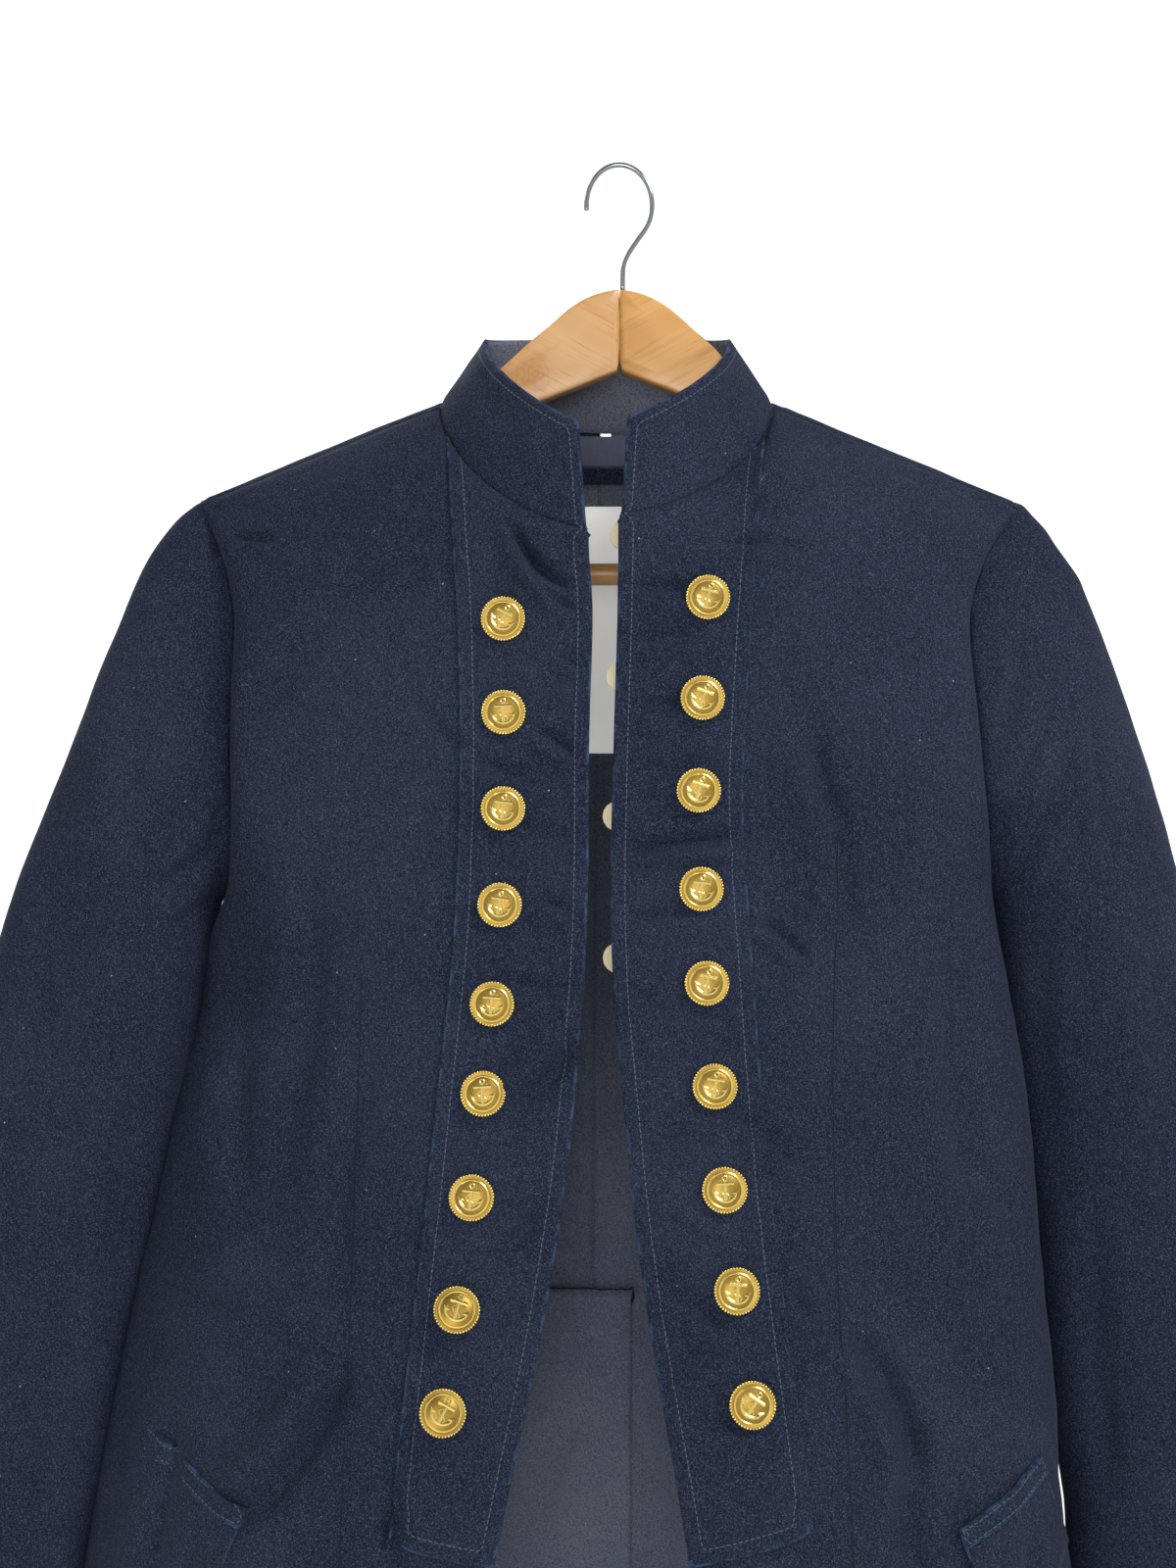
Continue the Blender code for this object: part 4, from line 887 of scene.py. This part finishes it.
def wall_middle_y(wall):
    """The middle of a sleeve from front to back, at each of its points."""
    heights = -wall.points[:, 2]
    order = np.linspace(heights.min(), heights.max(), 14)
    middle = []
    for low, high in zip(order[:-1], order[1:]):
        near = wall.points[(heights >= low) & (heights <= high)]
        middle.append(0.5 * (near[:, 1].min() + near[:, 1].max()))
    return np.interp(heights, 0.5 * (order[:-1] + order[1:]), middle)


def sleeve_middle(node):
    """A function that gives the middle of a sleeve near a place."""
    points = np.array([v.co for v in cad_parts[node].data.vertices])
    side = 1.0 if points[:, 0].mean() > 0 else -1.0
    # the rungs of a sleeve slant, so the middle is taken along its own length
    along = -points[:, 2] + 0.45 * (np.abs(points[:, 0]) - 0.2)
    stops = np.linspace(along.min(), along.max(), 12)
    centres = []
    for low, high in zip(stops[:-1], stops[1:]):
        near = points[(along >= low) & (along <= high)]
        centres.append(0.5 * (near.min(axis=0) + near.max(axis=0)))
    centres = np.array(centres)
    mids = 0.5 * (stops[:-1] + stops[1:])

    def middle(place):
        here = -place.z + 0.45 * (place.x * side - 0.2)
        return Vector([float(np.interp(here, mids, centres[:, k])) for k in range(3)])

    return middle


def neck_middle(place):
    """The middle of the neck at a place's height."""
    return Vector((-0.007, -0.012, place.z - 0.01))


Cut = namedtuple("Cut", "part width length area held")


def isolines(wall, level, keep):
    """Lines on a wall's outside where its distance to a free edge is a level, as point lists."""
    mesh, free, points = wall.mesh, wall.free, wall.points
    mesh.calc_loop_triangles()
    corners = np.empty(len(mesh.loop_triangles) * 3, int)
    mesh.loop_triangles.foreach_get("vertices", corners)
    faces = np.empty(len(mesh.loop_triangles), int)
    mesh.loop_triangles.foreach_get("polygon_index", faces)
    corners = corners.reshape(-1, 3)[wall.kinds[faces] == wall.OUTER]
    over = free[corners] > level
    crossed = corners[(over.sum(axis=1) > 0) & (over.sum(axis=1) < 3)]
    links, places = {}, {}
    for triangle in crossed:
        ends = []
        for k in range(3):
            a, b = sorted((int(triangle[k]), int(triangle[(k + 1) % 3])))
            if (free[a] > level) != (free[b] > level):
                share = (level - free[a]) / (free[b] - free[a])
                places[(a, b)] = points[a] + share * (points[b] - points[a])
                ends.append((a, b))
        if len(ends) == 2 and all(keep(places[end]) for end in ends):
            links.setdefault(ends[0], []).append(ends[1])
            links.setdefault(ends[1], []).append(ends[0])
    lines, seen = [], set()
    starts = [key for key, near in links.items() if len(near) == 1] + list(links)
    for start in starts:
        if start in seen:
            continue
        line, here = [], start
        while here is not None:
            seen.add(here)
            line.append(places[here])
            here = next((key for key in links[here] if key not in seen), None)
        if len(line) > 8:
            lines.append(np.array(line))
    return lines


def even(line, step):
    """A line of points read at even steps, smoothed a little."""
    line = np.asarray(line)
    length = np.concatenate([[0.0], np.cumsum(np.linalg.norm(np.diff(line, axis=0), axis=1))])
    count = max(3, int(length[-1] / step) + 1)
    stops = np.linspace(0, length[-1], count)
    read = np.stack([np.interp(stops, length, line[:, k]) for k in range(3)], axis=1)
    for _ in range(3):
        read[1:-1] = 0.25 * read[:-2] + 0.5 * read[1:-1] + 0.25 * read[2:]
    return read


def stitch_tree():
    """A Geometry Nodes tree that runs stitches along curves."""
    tree = bpy.data.node_groups.new("stitch_run", "GeometryNodeTree")
    face = tree.interface
    face.new_socket("Geometry", in_out="INPUT", socket_type="NodeSocketGeometry")
    for name in ("Pitch", "Length", "Thickness"):
        face.new_socket(name, in_out="INPUT", socket_type="NodeSocketFloat")
    face.new_socket("Material", in_out="INPUT", socket_type="NodeSocketMaterial")
    face.new_socket("Geometry", in_out="OUTPUT", socket_type="NodeSocketGeometry")
    given = add_node(tree, "NodeGroupInput")
    spaced = add_node(
        tree, "GeometryNodeResampleCurve", {"mode": "LENGTH"},
        {"Curve": (given, "Geometry"), "Length": (given, "Pitch")})
    tangent = add_node(tree, "GeometryNodeInputTangent")
    turn = add_node(
        tree, "FunctionNodeAlignRotationToVector", {"axis": "X"}, {"Vector": (tangent, 0)})
    half = add_node(
        tree, "ShaderNodeMath", {"operation": "MULTIPLY"}, {0: (given, "Length"), 1: 0.5})
    thin = add_node(
        tree, "ShaderNodeMath", {"operation": "MULTIPLY"}, {0: (given, "Thickness"), 1: 0.5})
    size = add_node(
        tree, "ShaderNodeCombineXYZ", inputs={"X": (half, 0), "Y": (thin, 0), "Z": (thin, 0)})
    bead = add_node(
        tree, "GeometryNodeMeshUVSphere", inputs={"Segments": 6, "Rings": 4, "Radius": 1.0})
    stub = add_node(
        tree, "GeometryNodeTransform",
        inputs={"Geometry": (bead, 0), "Rotation": (0.0, math.pi / 2, 0.0)})
    placed = add_node(
        tree, "GeometryNodeInstanceOnPoints",
        inputs={"Points": (spaced, 0), "Instance": (stub, 0), "Rotation": (turn, 0),
                "Scale": (size, 0)})
    real = add_node(tree, "GeometryNodeRealizeInstances", inputs={"Geometry": (placed, 0)})
    coloured = add_node(
        tree, "GeometryNodeSetMaterial",
        inputs={"Geometry": (real, 0), "Material": (given, "Material")})
    result = add_node(tree, "NodeGroupOutput")
    tree.links.new(coloured.outputs[0], result.inputs[0])
    return tree


def run_nodes(obj, tree, values):
    """Runs a Geometry Nodes tree on an object and gives the result as a plain mesh object."""
    modifier = obj.modifiers.new(tree.name, "NODES")
    modifier.node_group = tree
    for item in tree.interface.items_tree:
        if item.in_out == "INPUT" and item.name in values:
            modifier[item.identifier] = values[item.name]
    bpy.context.view_layer.update()
    made = bpy.data.meshes.new_from_object(
        obj.evaluated_get(bpy.context.evaluated_depsgraph_get()))
    name = obj.name
    obj.modifiers.clear()
    bpy.data.objects.remove(obj)
    made.shade_smooth()
    piece = bpy.data.objects.new(name, made)
    bpy.context.scene.collection.objects.link(piece)
    return piece


def curve_object(name, lines):
    """A curve object through lists of points."""
    curve = bpy.data.curves.new(name, "CURVE")
    curve.dimensions = "3D"
    for line in lines:
        spline = curve.splines.new("POLY")
        spline.points.add(len(line) - 1)
        spline.points.foreach_set("co", np.c_[line, np.ones(len(line))].ravel())
    obj = bpy.data.objects.new(name, curve)
    bpy.context.scene.collection.objects.link(obj)
    return obj


def sew(name, lines, tree):
    """A run of stitches along lines."""
    values = {
        "Pitch": sizes().stitch_pitch,
        "Length": sizes().stitch_length,
        "Thickness": sizes().thread_size,
        "Material": finishes["thread"],
    }
    piece = run_nodes(curve_object(name, lines), tree, values)
    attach(piece, "root")
    return piece


def surface_tree(names):
    """A search tree of the dressed cloth of some pieces."""
    points, faces = [], []
    for name in names:
        wall = walls[name]
        base = len(points)
        points.extend(map(tuple, wall.points))
        faces.extend([tuple(base + v for v in polygon.vertices) for polygon in wall.mesh.polygons])
    return BVHTree.FromPolygons(points, faces)


def on_surface(tree, x, height, front=True, lift=0.0):
    """The place on the cloth's outside at a place across and a height, in metres."""
    start = Vector((x * MM, -1.0 if front else 1.0, -height * MM))
    hit = tree.ray_cast(start, Vector((0, 1 if front else -1, 0)))
    if hit[0] is None:
        return None
    return hit[0] + hit[1] * lift * MM


def drawn(tree, places, front=True, lift=0.0, step=3.0):
    """A smooth line on the cloth through places given in millimetres."""
    places = np.array(places, float)
    length = np.concatenate([[0.0], np.cumsum(np.linalg.norm(np.diff(places, axis=0), axis=1))])
    stops = np.linspace(0, length[-1], max(3, int(length[-1] / step)))
    line = [on_surface(tree, float(np.interp(s, length, places[:, 0])),
                       float(np.interp(s, length, places[:, 1])), front, lift) for s in stops]
    return np.array([p for p in line if p is not None])


class JACKET_OT_stitches(bpy.types.Operator):
    """Topstitching along the edges, and the sewn darts drawn as thin dark tubes of painted shadow"""

    bl_idname = "jacket.stitches"
    bl_label = "Stitches and darts"

    def execute(self, context):
        """Runs stitches beside the free edges of each piece."""
        tree = stitch_tree()
        s = sizes()
        runs = {"stitches_collar": isolines(walls["collar"], s.collar_inset / MM, lambda p: True)}
        for side, sign in SIDES.items():
            runs[f"stitches_band_{side}"] = isolines(
                walls[f"band_{side}"], s.band_inset / MM, lambda p: True)
            runs[f"stitches_hem_{side}"] = isolines(
                walls[f"front_{side}"], s.hem_inset / MM, lambda p: p[2] < -0.72)
            runs[f"stitches_skirt_{side}"] = isolines(
                walls[f"skirt_{side}"], s.hem_inset / MM, lambda p: p[2] < -0.845)
            runs[f"stitches_cuff_{side}"] = isolines(
                walls[f"sleeve_{side}"], s.hem_inset / MM, lambda p: p[2] < -0.6)
            runs[f"stitches_pocket_{side}"] = isolines(
                walls[f"pocket_welt_{side}"], 1.6, lambda p: True)
        for name, lines in runs.items():
            lines = [even(line, 0.001) for line in lines]
            if lines:
                sew(name, lines, tree)
        # Each dart is a thin dark tube of painted shadow, laid on the cloth along its line
        for node, places in DARTS.items():
            surface = surface_tree([node])
            line = even(drawn(surface, places), 0.003)
            curve = curve_object(f"dart_shadow_{node}", [line])
            curve.data.bevel_depth = 0.00036
            curve.data.bevel_resolution = 1
            bpy.context.view_layer.update()
            mesh = bpy.data.meshes.new_from_object(
                curve.evaluated_get(bpy.context.evaluated_depsgraph_get()))
            bpy.data.objects.remove(curve)
            mesh.materials.append(finishes["crack"])
            piece = bpy.data.objects.new(f"dart_shadow_{node}", mesh)
            context.scene.collection.objects.link(piece)
            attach(piece, "root")
        return {"FINISHED"}


def ring_of(radius, height, count):
    """Points of a level ring."""
    return [(radius * math.cos(2 * math.pi * k / count), radius * math.sin(2 * math.pi * k / count),
             height) for k in range(count)]


class Relief:
    """Collects a button's parts in millimetres, with its axis along +Z."""

    def __init__(self):
        self.points, self.faces, self.kinds = [], [], []

    def add(self, points, faces, kind):
        """Adds points and faces of one kind: 0 bright relief, 1 ground."""
        base = len(self.points)
        self.points.extend(points)
        self.faces.extend([[base + k for k in face] for face in faces])
        self.kinds.extend([kind] * len(faces))

    def turned(self, profile, count, kind):
        """A turned part. The profile runs from the axis at the back, round, to the axis in front."""
        points = [(0.0, 0.0, profile[0][1])]
        for radius, height in profile[1:-1]:
            points.extend(ring_of(radius, height, count))
        points.append((0.0, 0.0, profile[-1][1]))
        faces = []
        rings = len(profile) - 2
        for k in range(count):
            n = (k + 1) % count
            faces.append((0, 1 + n, 1 + k))
            for ring in range(rings - 1):
                a, b = 1 + ring * count, 1 + (ring + 1) * count
                faces.append((a + k, a + n, b + n, b + k))
            last = 1 + (rings - 1) * count
            faces.append((last + k, last + n, len(points) - 1))
        self.add(points, faces, kind)

    def rod(self, path, radii, kind=0, sides=6, closed=False):
        """A round rod through points, thicker and thinner as its radii say."""
        path = np.array(path, float)
        radii = np.broadcast_to(radii, (len(path),))
        if closed:
            along = np.roll(path, -1, axis=0) - np.roll(path, 1, axis=0)
        else:
            along = np.gradient(path, axis=0)
        points, faces = [], []
        for place, way, radius in zip(path, along, radii):
            way = way / np.linalg.norm(way)
            up = np.array([0.0, 0.0, 1.0]) - way[2] * way
            up /= np.linalg.norm(up)
            over = np.cross(way, up)
            for k in range(sides):
                angle = 2 * math.pi * k / sides
                points.append(tuple(place + radius * (math.cos(angle) * up + math.sin(angle) * over)))
        count = len(path)
        for r in range(count if closed else count - 1):
            a, b = r * sides, ((r + 1) % count) * sides
            for k in range(sides):
                n = (k + 1) % sides
                faces.append((a + k, b + k, b + n, a + n))
        if not closed:
            faces.append(tuple(range(sides)))
            faces.append(tuple(reversed(range((count - 1) * sides, count * sides))))
        self.add(points, faces, kind)


DOME = ((0.0, 0.0), (8.8, 0.0), (10.5, 0.9), (10.9, 1.7), (10.7, 2.4), (10.0, 2.6), (9.3, 2.2),
        (8.7, 2.3), (7.2, 3.1), (4.4, 3.7), (0.0, 3.95))


def dome_height(radius):
    """The height of the button's ground at a radius."""
    radii = [point[0] for point in DOME[7:]][::-1]
    heights = [point[1] for point in DOME[7:]][::-1]
    return float(np.interp(radius, radii, heights))


def on_dome(places, lift):
    """Places on the button's face, in millimetres, raised a little."""
    return [(x, y, dome_height(math.hypot(x, y)) + lift) for x, y in places]


def bow_line(centre, radius, start, end, count):
    """Points of an arc, its angles in degrees."""
    return [(centre[0] + radius * math.cos(math.radians(a)),
             centre[1] + radius * math.sin(math.radians(a))) for a in np.linspace(start, end, count)]


def anchor_button():
    """A domed button with a rope ring and a fouled anchor, a common uniform motif."""
    relief = Relief()
    relief.turned(DOME, 48, 1)
    ring = [(x, y, dome_height(8.2) + 0.25) for x, y in bow_line((0, 0), 8.5, 0, 352.5, 48)]
    relief.rod(ring, 0.55, closed=True)
    relief.rod(on_dome([(0, 4.9), (0, 2), (0, -1), (0, -5.0)], 0.5), (0.7, 0.85, 0.95, 1.05))
    relief.rod(on_dome([(-4.3, 3.3), (-1.5, 3.3), (1.5, 3.3), (4.3, 3.3)], 0.7),
               (1.1, 0.85, 0.85, 1.1))
    relief.rod(on_dome(bow_line((0, 5.9), 1.1, 0, 330, 10), 0.4), 0.42, closed=True)
    relief.rod(on_dome(bow_line((0, 0.6), 5.9, 200, 340, 15), 0.5),
               [0.4, 0.6, 0.75, 0.85, 0.9, 0.95, 1.0, 1.1, 1.0, 0.95, 0.9, 0.85, 0.75, 0.6, 0.4])
    for sign in (-1, 1):
        relief.rod(on_dome([(6.3 * sign, 0.2), (5.1 * sign, -1.4), (3.4 * sign, -1.5)], 0.5),
                   (0.3, 1.1, 0.4))
    rope = [(2.6, 4.6), (1.4, 2.3), (-1.2, 1.3), (-2.4, -0.2), (-1.3, -1.6), (1.0, -1.9),
            (2.3, -3.2), (1.4, -4.6)]
    relief.rod(on_dome(rope, 0.8), 0.34)
    return relief


def bead_tree():
    """A Geometry Nodes tree that sets beads round a ring of points."""
    tree = bpy.data.node_groups.new("bead_ring", "GeometryNodeTree")
    face = tree.interface
    face.new_socket("Geometry", in_out="INPUT", socket_type="NodeSocketGeometry")
    face.new_socket("Bead", in_out="INPUT", socket_type="NodeSocketFloat")
    face.new_socket("Material", in_out="INPUT", socket_type="NodeSocketMaterial")
    face.new_socket("Geometry", in_out="OUTPUT", socket_type="NodeSocketGeometry")
    given = add_node(tree, "NodeGroupInput")
    bead = add_node(
        tree, "GeometryNodeMeshIcoSphere", inputs={"Radius": (given, "Bead"), "Subdivisions": 1})
    placed = add_node(
        tree, "GeometryNodeInstanceOnPoints",
        inputs={"Points": (given, "Geometry"), "Instance": (bead, 0)})
    real = add_node(tree, "GeometryNodeRealizeInstances", inputs={"Geometry": (placed, 0)})
    coloured = add_node(
        tree, "GeometryNodeSetMaterial",
        inputs={"Geometry": (real, 0), "Material": (given, "Material")})
    result = add_node(tree, "NodeGroupOutput")
    tree.links.new(coloured.outputs[0], result.inputs[0])
    return tree


def node_axis(node):
    """The middle and the outward axis of a flat round node."""
    points = np.array([v.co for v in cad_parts[node].data.vertices])
    middle = 0.5 * (points.min(axis=0) + points.max(axis=0))
    axis = np.linalg.svd(points - points.mean(axis=0), full_matrices=False)[2][2]
    return middle, axis * (-1 if axis[1] > 0 else 1)


class JACKET_OT_buttons(bpy.types.Operator):
    """Gilt anchor buttons on the bands, and the flat ones behind the right edge"""

    bl_idname = "jacket.buttons"
    bl_label = "Buttons"

    def execute(self, context):
        """Sets nine buttons on each band, each turned a little on its shank."""
        relief = anchor_button()
        shape = np.array(relief.points)
        beads = np.array(ring_of(10.85, 1.95, 46))
        tree = bead_tree()
        for side in SIDES:
            surface = surface_tree([f"band_{side}"])
            points, faces, kinds, rim = [], [], [], []
            nodes = [f"button_{side}_{k}" for k in range(1, 10)]
            for node, turn in zip(nodes, BUTTON_TURNS[side]):
                middle, axis = node_axis(node)
                start = Vector((middle[0], -1.0, middle[2]))
                hit = surface.ray_cast(start, Vector((0, 1, 0)))
                out = Vector(axis)
                lean = Matrix.Rotation(math.radians(turn.lean_x), 3, "X") @ \
                    Matrix.Rotation(math.radians(turn.lean_z), 3, "Z")
                out = lean @ out
                over = Vector((1, 0, 0)) - out.x * out
                over.normalize()
                up = out.cross(over)
                basis = Matrix((over, up, out)).transposed() @ \
                    Matrix.Rotation(math.radians(turn.roll), 3, "Z")
                if basis.determinant() < 0:
                    raise RuntimeError("a button would be turned inside out")
                tipped = 11.0 * math.sin(math.radians(abs(turn.lean_x) + abs(turn.lean_z)) * 0.7)
                seat = hit[0] + Vector(axis) * (1.3 + tipped) * MM
                base = len(points)
                turned = np.array(basis)
                points.extend(map(tuple, shape @ turned.T * MM + np.array(seat)))
                rim.extend(map(tuple, beads @ turned.T * MM + np.array(seat)))
                faces.extend([[base + k for k in face] for face in relief.faces])
                kinds.extend(relief.kinds)
            mesh = bpy.data.meshes.new(f"gilt_buttons_{side}")
            mesh.from_pydata(points, [], faces)
            mesh.materials.append(finishes["gilt"])
            mesh.materials.append(finishes["ground"])
            mesh.polygons.foreach_set("material_index", kinds)
            mesh.update()
            mesh.shade_smooth()
            mesh.set_sharp_from_angle(angle=math.radians(SHADED_SHARP))
            piece = bpy.data.objects.new(f"gilt_buttons_{side}", mesh)
            context.scene.collection.objects.link(piece)
            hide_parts(*nodes)
            cloud = bpy.data.meshes.new("rim")
            cloud.from_pydata(rim, [], [])
            holder = bpy.data.objects.new(f"rim_beads_{side}", cloud)
            context.scene.collection.objects.link(holder)
            beaded = run_nodes(holder, tree, {"Bead": 0.00074, "Material": finishes["gilt"]})
            for made in (piece, beaded):
                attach(made, "root")
        for k in range(1, 5):
            paint(f"inner_button_{k}", finishes["horn"])
        return {"FINISHED"}


def paint(node, material):
    """Gives a CAD node that keeps its shape a better material."""
    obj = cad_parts[node]
    if not obj.material_slots:
        obj.data.materials.append(material)
    for slot in obj.material_slots:
        slot.link = "OBJECT"
        slot.material = material


class JACKET_OT_neck(bpy.types.Operator):
    """The facing, the hanging loop and the bare label inside the back of the neck"""

    bl_idname = "jacket.neck"
    bl_label = "Inside the neck"

    def execute(self, context):
        """Gives the pieces inside the neck their cloth."""
        for node, material in (("neck_facing", "facing"), ("hanging_loop", "face"),
                               ("label", "label")):
            wall = Wall(node, 2, lambda place: Vector((place.x, 0.2, place.z)))
            walls[node] = wall
            move(wall, rumple_lift(wall.points, NECK_RUMPLES, 6))
            slot = {"neck_facing": "grey_lining_cloth", "label": "white_label_tape"}.get(
                node, "navy_cotton_twill")
            obj = wall.finish(f"cloth_{node}", [finishes[material]], slot, [])
        return {"FINISHED"}


class JACKET_OT_hanger(bpy.types.Operator):
    """The wooden arms, the trouser bar, its posts and the hook"""

    bl_idname = "jacket.hanger"
    bl_label = "Hanger"

    def execute(self, context):
        """Rounds the hanger's pieces and gives them wood and steel."""
        for node, material, levels, slot in (
            ("hanger_arm_left", "oak_left", 2, "varnished_oak"),
            ("hanger_arm_right", "oak_right", 2, "varnished_oak"),
            ("trouser_bar", "oak_bar", 2, "varnished_oak"),
            ("hook", "chrome", 2, "chromed_steel"),
        ):
            self.rounded(context, node, finishes[material], levels, slot)
        for side in SIDES:
            paint(f"bar_post_{side}", finishes["chrome"])
        return {"FINISHED"}

    def join_arm(self, fine, node):
        """Closes the mitre between the arms and tucks each arm under the cloth beside the neck."""
        places = [v.co for v in fine.vertices]
        side = 1 if node.endswith("right") else -1
        inner = min(place.x * side for place in places)
        for place in places:
            if place.x * side - inner < 0.0004:
                place.x -= side * 0.00018
            out = place.x * side / MM
            tuck = float(smooth((out - 52.0) / 22.0) * smooth((165.0 - out) / 60.0))
            place.z -= ARM_TUCK[node.rsplit("_", 1)[1]] * MM * tuck

    def rounded(self, context, node, material, levels, slot):
        """A finer, rounded copy of a hard node, with its flat ends kept."""
        bm = bmesh.new()
        bm.from_mesh(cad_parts[node].data)
        bmesh.ops.remove_doubles(bm, verts=bm.verts, dist=SAME_POINT)
        bmesh.ops.dissolve_limit(
            bm, angle_limit=math.radians(1), verts=bm.verts, edges=bm.edges)
        bmesh.ops.join_triangles(
            bm, faces=bm.faces, angle_face_threshold=math.radians(20),
            angle_shape_threshold=math.radians(75))
        crease = bm.edges.layers.float.new("crease_edge")
        for edge in bm.edges:
            if edge.calc_face_angle(0.0) > math.radians(WOOD_SHARP):
                edge[crease] = 0.9
        mesh = bpy.data.meshes.new(node)
        bm.to_mesh(mesh)
        bm.free()
        obj = bpy.data.objects.new("coarse", mesh)
        context.scene.collection.objects.link(obj)
        finer = obj.modifiers.new("finer", "SUBSURF")
        finer.levels = finer.render_levels = levels
        bpy.context.view_layer.update()
        fine = bpy.data.meshes.new_from_object(
            obj.evaluated_get(bpy.context.evaluated_depsgraph_get()))
        bpy.data.objects.remove(obj)
        if node.startswith("hanger_arm"):
            self.join_arm(fine, node)
        fine.materials.clear()
        fine.materials.append(material)
        fine.shade_smooth()
        fine.set_sharp_from_angle(angle=math.radians(SHADED_SHARP))
        piece = bpy.data.objects.new(f"finished_{node}", fine)
        context.scene.collection.objects.link(piece)
        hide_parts(node)
        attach(piece, "root")


class JACKET_OT_stage(bpy.types.Operator):
    """The camera, the lights and the pale floor"""

    bl_idname = "jacket.stage"
    bl_label = "Stage"

    def execute(self, context):
        """Sets the camera where the photo was taken, and lights it softly."""
        scene = context.scene
        stage = scene.jacket_stage
        camera = bpy.data.objects.new("camera", bpy.data.cameras.new("camera"))
        camera.data.sensor_width = 36.0
        camera.data.sensor_fit = "AUTO"
        camera.data.lens = stage.lens
        camera.location = (-0.017, -stage.distance, -0.3355)
        camera.rotation_euler = (math.pi / 2, 0.0, 0.0)
        scene.collection.objects.link(camera)
        scene.camera = camera
        scene.view_settings.view_transform = "Standard"
        self.backdrop(scene, stage)
        for name, place, power, size in (
            ("key", (1.0, -0.85, 0.95), stage.key_power, 0.4),
            ("fill", (-0.12, -2.0, -0.2), stage.fill_power, 0.7),
            ("back_key", (-0.9, 1.2, 0.9), stage.key_power * 0.8, 0.6),
            ("paper", (0.0, 0.9, 0.6), stage.paper_power, 1.4),
        ):
            light = bpy.data.objects.new(name, bpy.data.lights.new(name, "AREA"))
            light.data.energy = power
            light.data.size = size
            light.location = place
            seen = (0.0, 3.0, 0.1) if name == "paper" else (0.0, 0.0, -0.42)
            aim = Vector(seen) - Vector(place)
            light.rotation_euler = aim.to_track_quat("-Z", "Y").to_euler()
            scene.collection.objects.link(light)
        world = bpy.data.worlds.new("studio")
        world.use_nodes = True
        world.node_tree.nodes["Background"].inputs["Color"].default_value = linear("#FFFFFF")
        world.node_tree.nodes["Background"].inputs["Strength"].default_value = 0.24
        scene.world = world
        return {"FINISHED"}

    def backdrop(self, scene, stage):
        """A floor that sweeps up all round into a pale wall."""
        profile = [(0.0, 0.0), (1.6, 0.0)]
        for k in range(1, 13):
            angle = math.pi / 2 * k / 12
            profile.append((1.6 + 1.0 * math.sin(angle), 1.0 - 1.0 * math.cos(angle)))
        profile.append((2.6, 3.4))
        points, faces = [(0.0, 0.0, -stage.floor_depth)], []
        around = 48
        for radius, rise in profile[1:]:
            for k in range(around):
                angle = 2 * math.pi * k / around
                points.append((radius * math.cos(angle), radius * math.sin(angle),
                               rise - stage.floor_depth))
        for k in range(around):
            faces.append((0, 1 + k, 1 + (k + 1) % around))
            for ring in range(len(profile) - 2):
                a, b = 1 + ring * around, 1 + (ring + 1) * around
                n = (k + 1) % around
                faces.append((a + k, b + k, b + n, a + n))
        mesh = bpy.data.meshes.new("floor")
        mesh.from_pydata(points, [], faces)
        mesh.shade_smooth()
        # Matt background paper: pale and without gloss
        mesh.materials.append(new_material("pale_paper", stage.paper, 1.0, Specular_IOR_Level=0.0))
        floor = bpy.data.objects.new("floor", mesh)
        scene.collection.objects.link(floor)


OPERATORS = (
    JACKET_OT_stage, JACKET_OT_body, JACKET_OT_neck, JACKET_OT_stitches, JACKET_OT_buttons,
    JACKET_OT_hanger,
)


class JACKET_PT_panel(bpy.types.Panel):
    """Lists the jacket's makers in the sidebar"""

    bl_idname = "JACKET_PT_panel"
    bl_label = "Jacket"
    bl_space_type = "VIEW_3D"
    bl_region_type = "UI"
    bl_category = "Jacket"

    def draw(self, context):
        """Shows the settings and one button for each maker."""
        for group in (context.scene.jacket_colours, context.scene.jacket_sizes,
                      context.scene.jacket_stage):
            for name in group.__annotations__:
                self.layout.prop(group, name)
        for operator in OPERATORS:
            self.layout.operator(operator.bl_idname)


CLASSES = (JacketColours, JacketSizes, StageSizes, *OPERATORS, JACKET_PT_panel)


def register():
    """Registers the classes and puts the settings on the scene."""
    for item in CLASSES:
        bpy.utils.register_class(item)
    bpy.types.Scene.jacket_colours = bpy.props.PointerProperty(type=JacketColours)
    bpy.types.Scene.jacket_sizes = bpy.props.PointerProperty(type=JacketSizes)
    bpy.types.Scene.jacket_stage = bpy.props.PointerProperty(type=StageSizes)


def unregister():
    """Takes the settings and the classes away."""
    del bpy.types.Scene.jacket_stage
    del bpy.types.Scene.jacket_sizes
    del bpy.types.Scene.jacket_colours
    for item in reversed(CLASSES):
        bpy.utils.unregister_class(item)


def main():
    """Makes everything in order."""
    register()
    for operator in OPERATORS:
        group, name = operator.bl_idname.split(".")
        getattr(getattr(bpy.ops, group), name)()


if __name__ == "__main__":
    main()
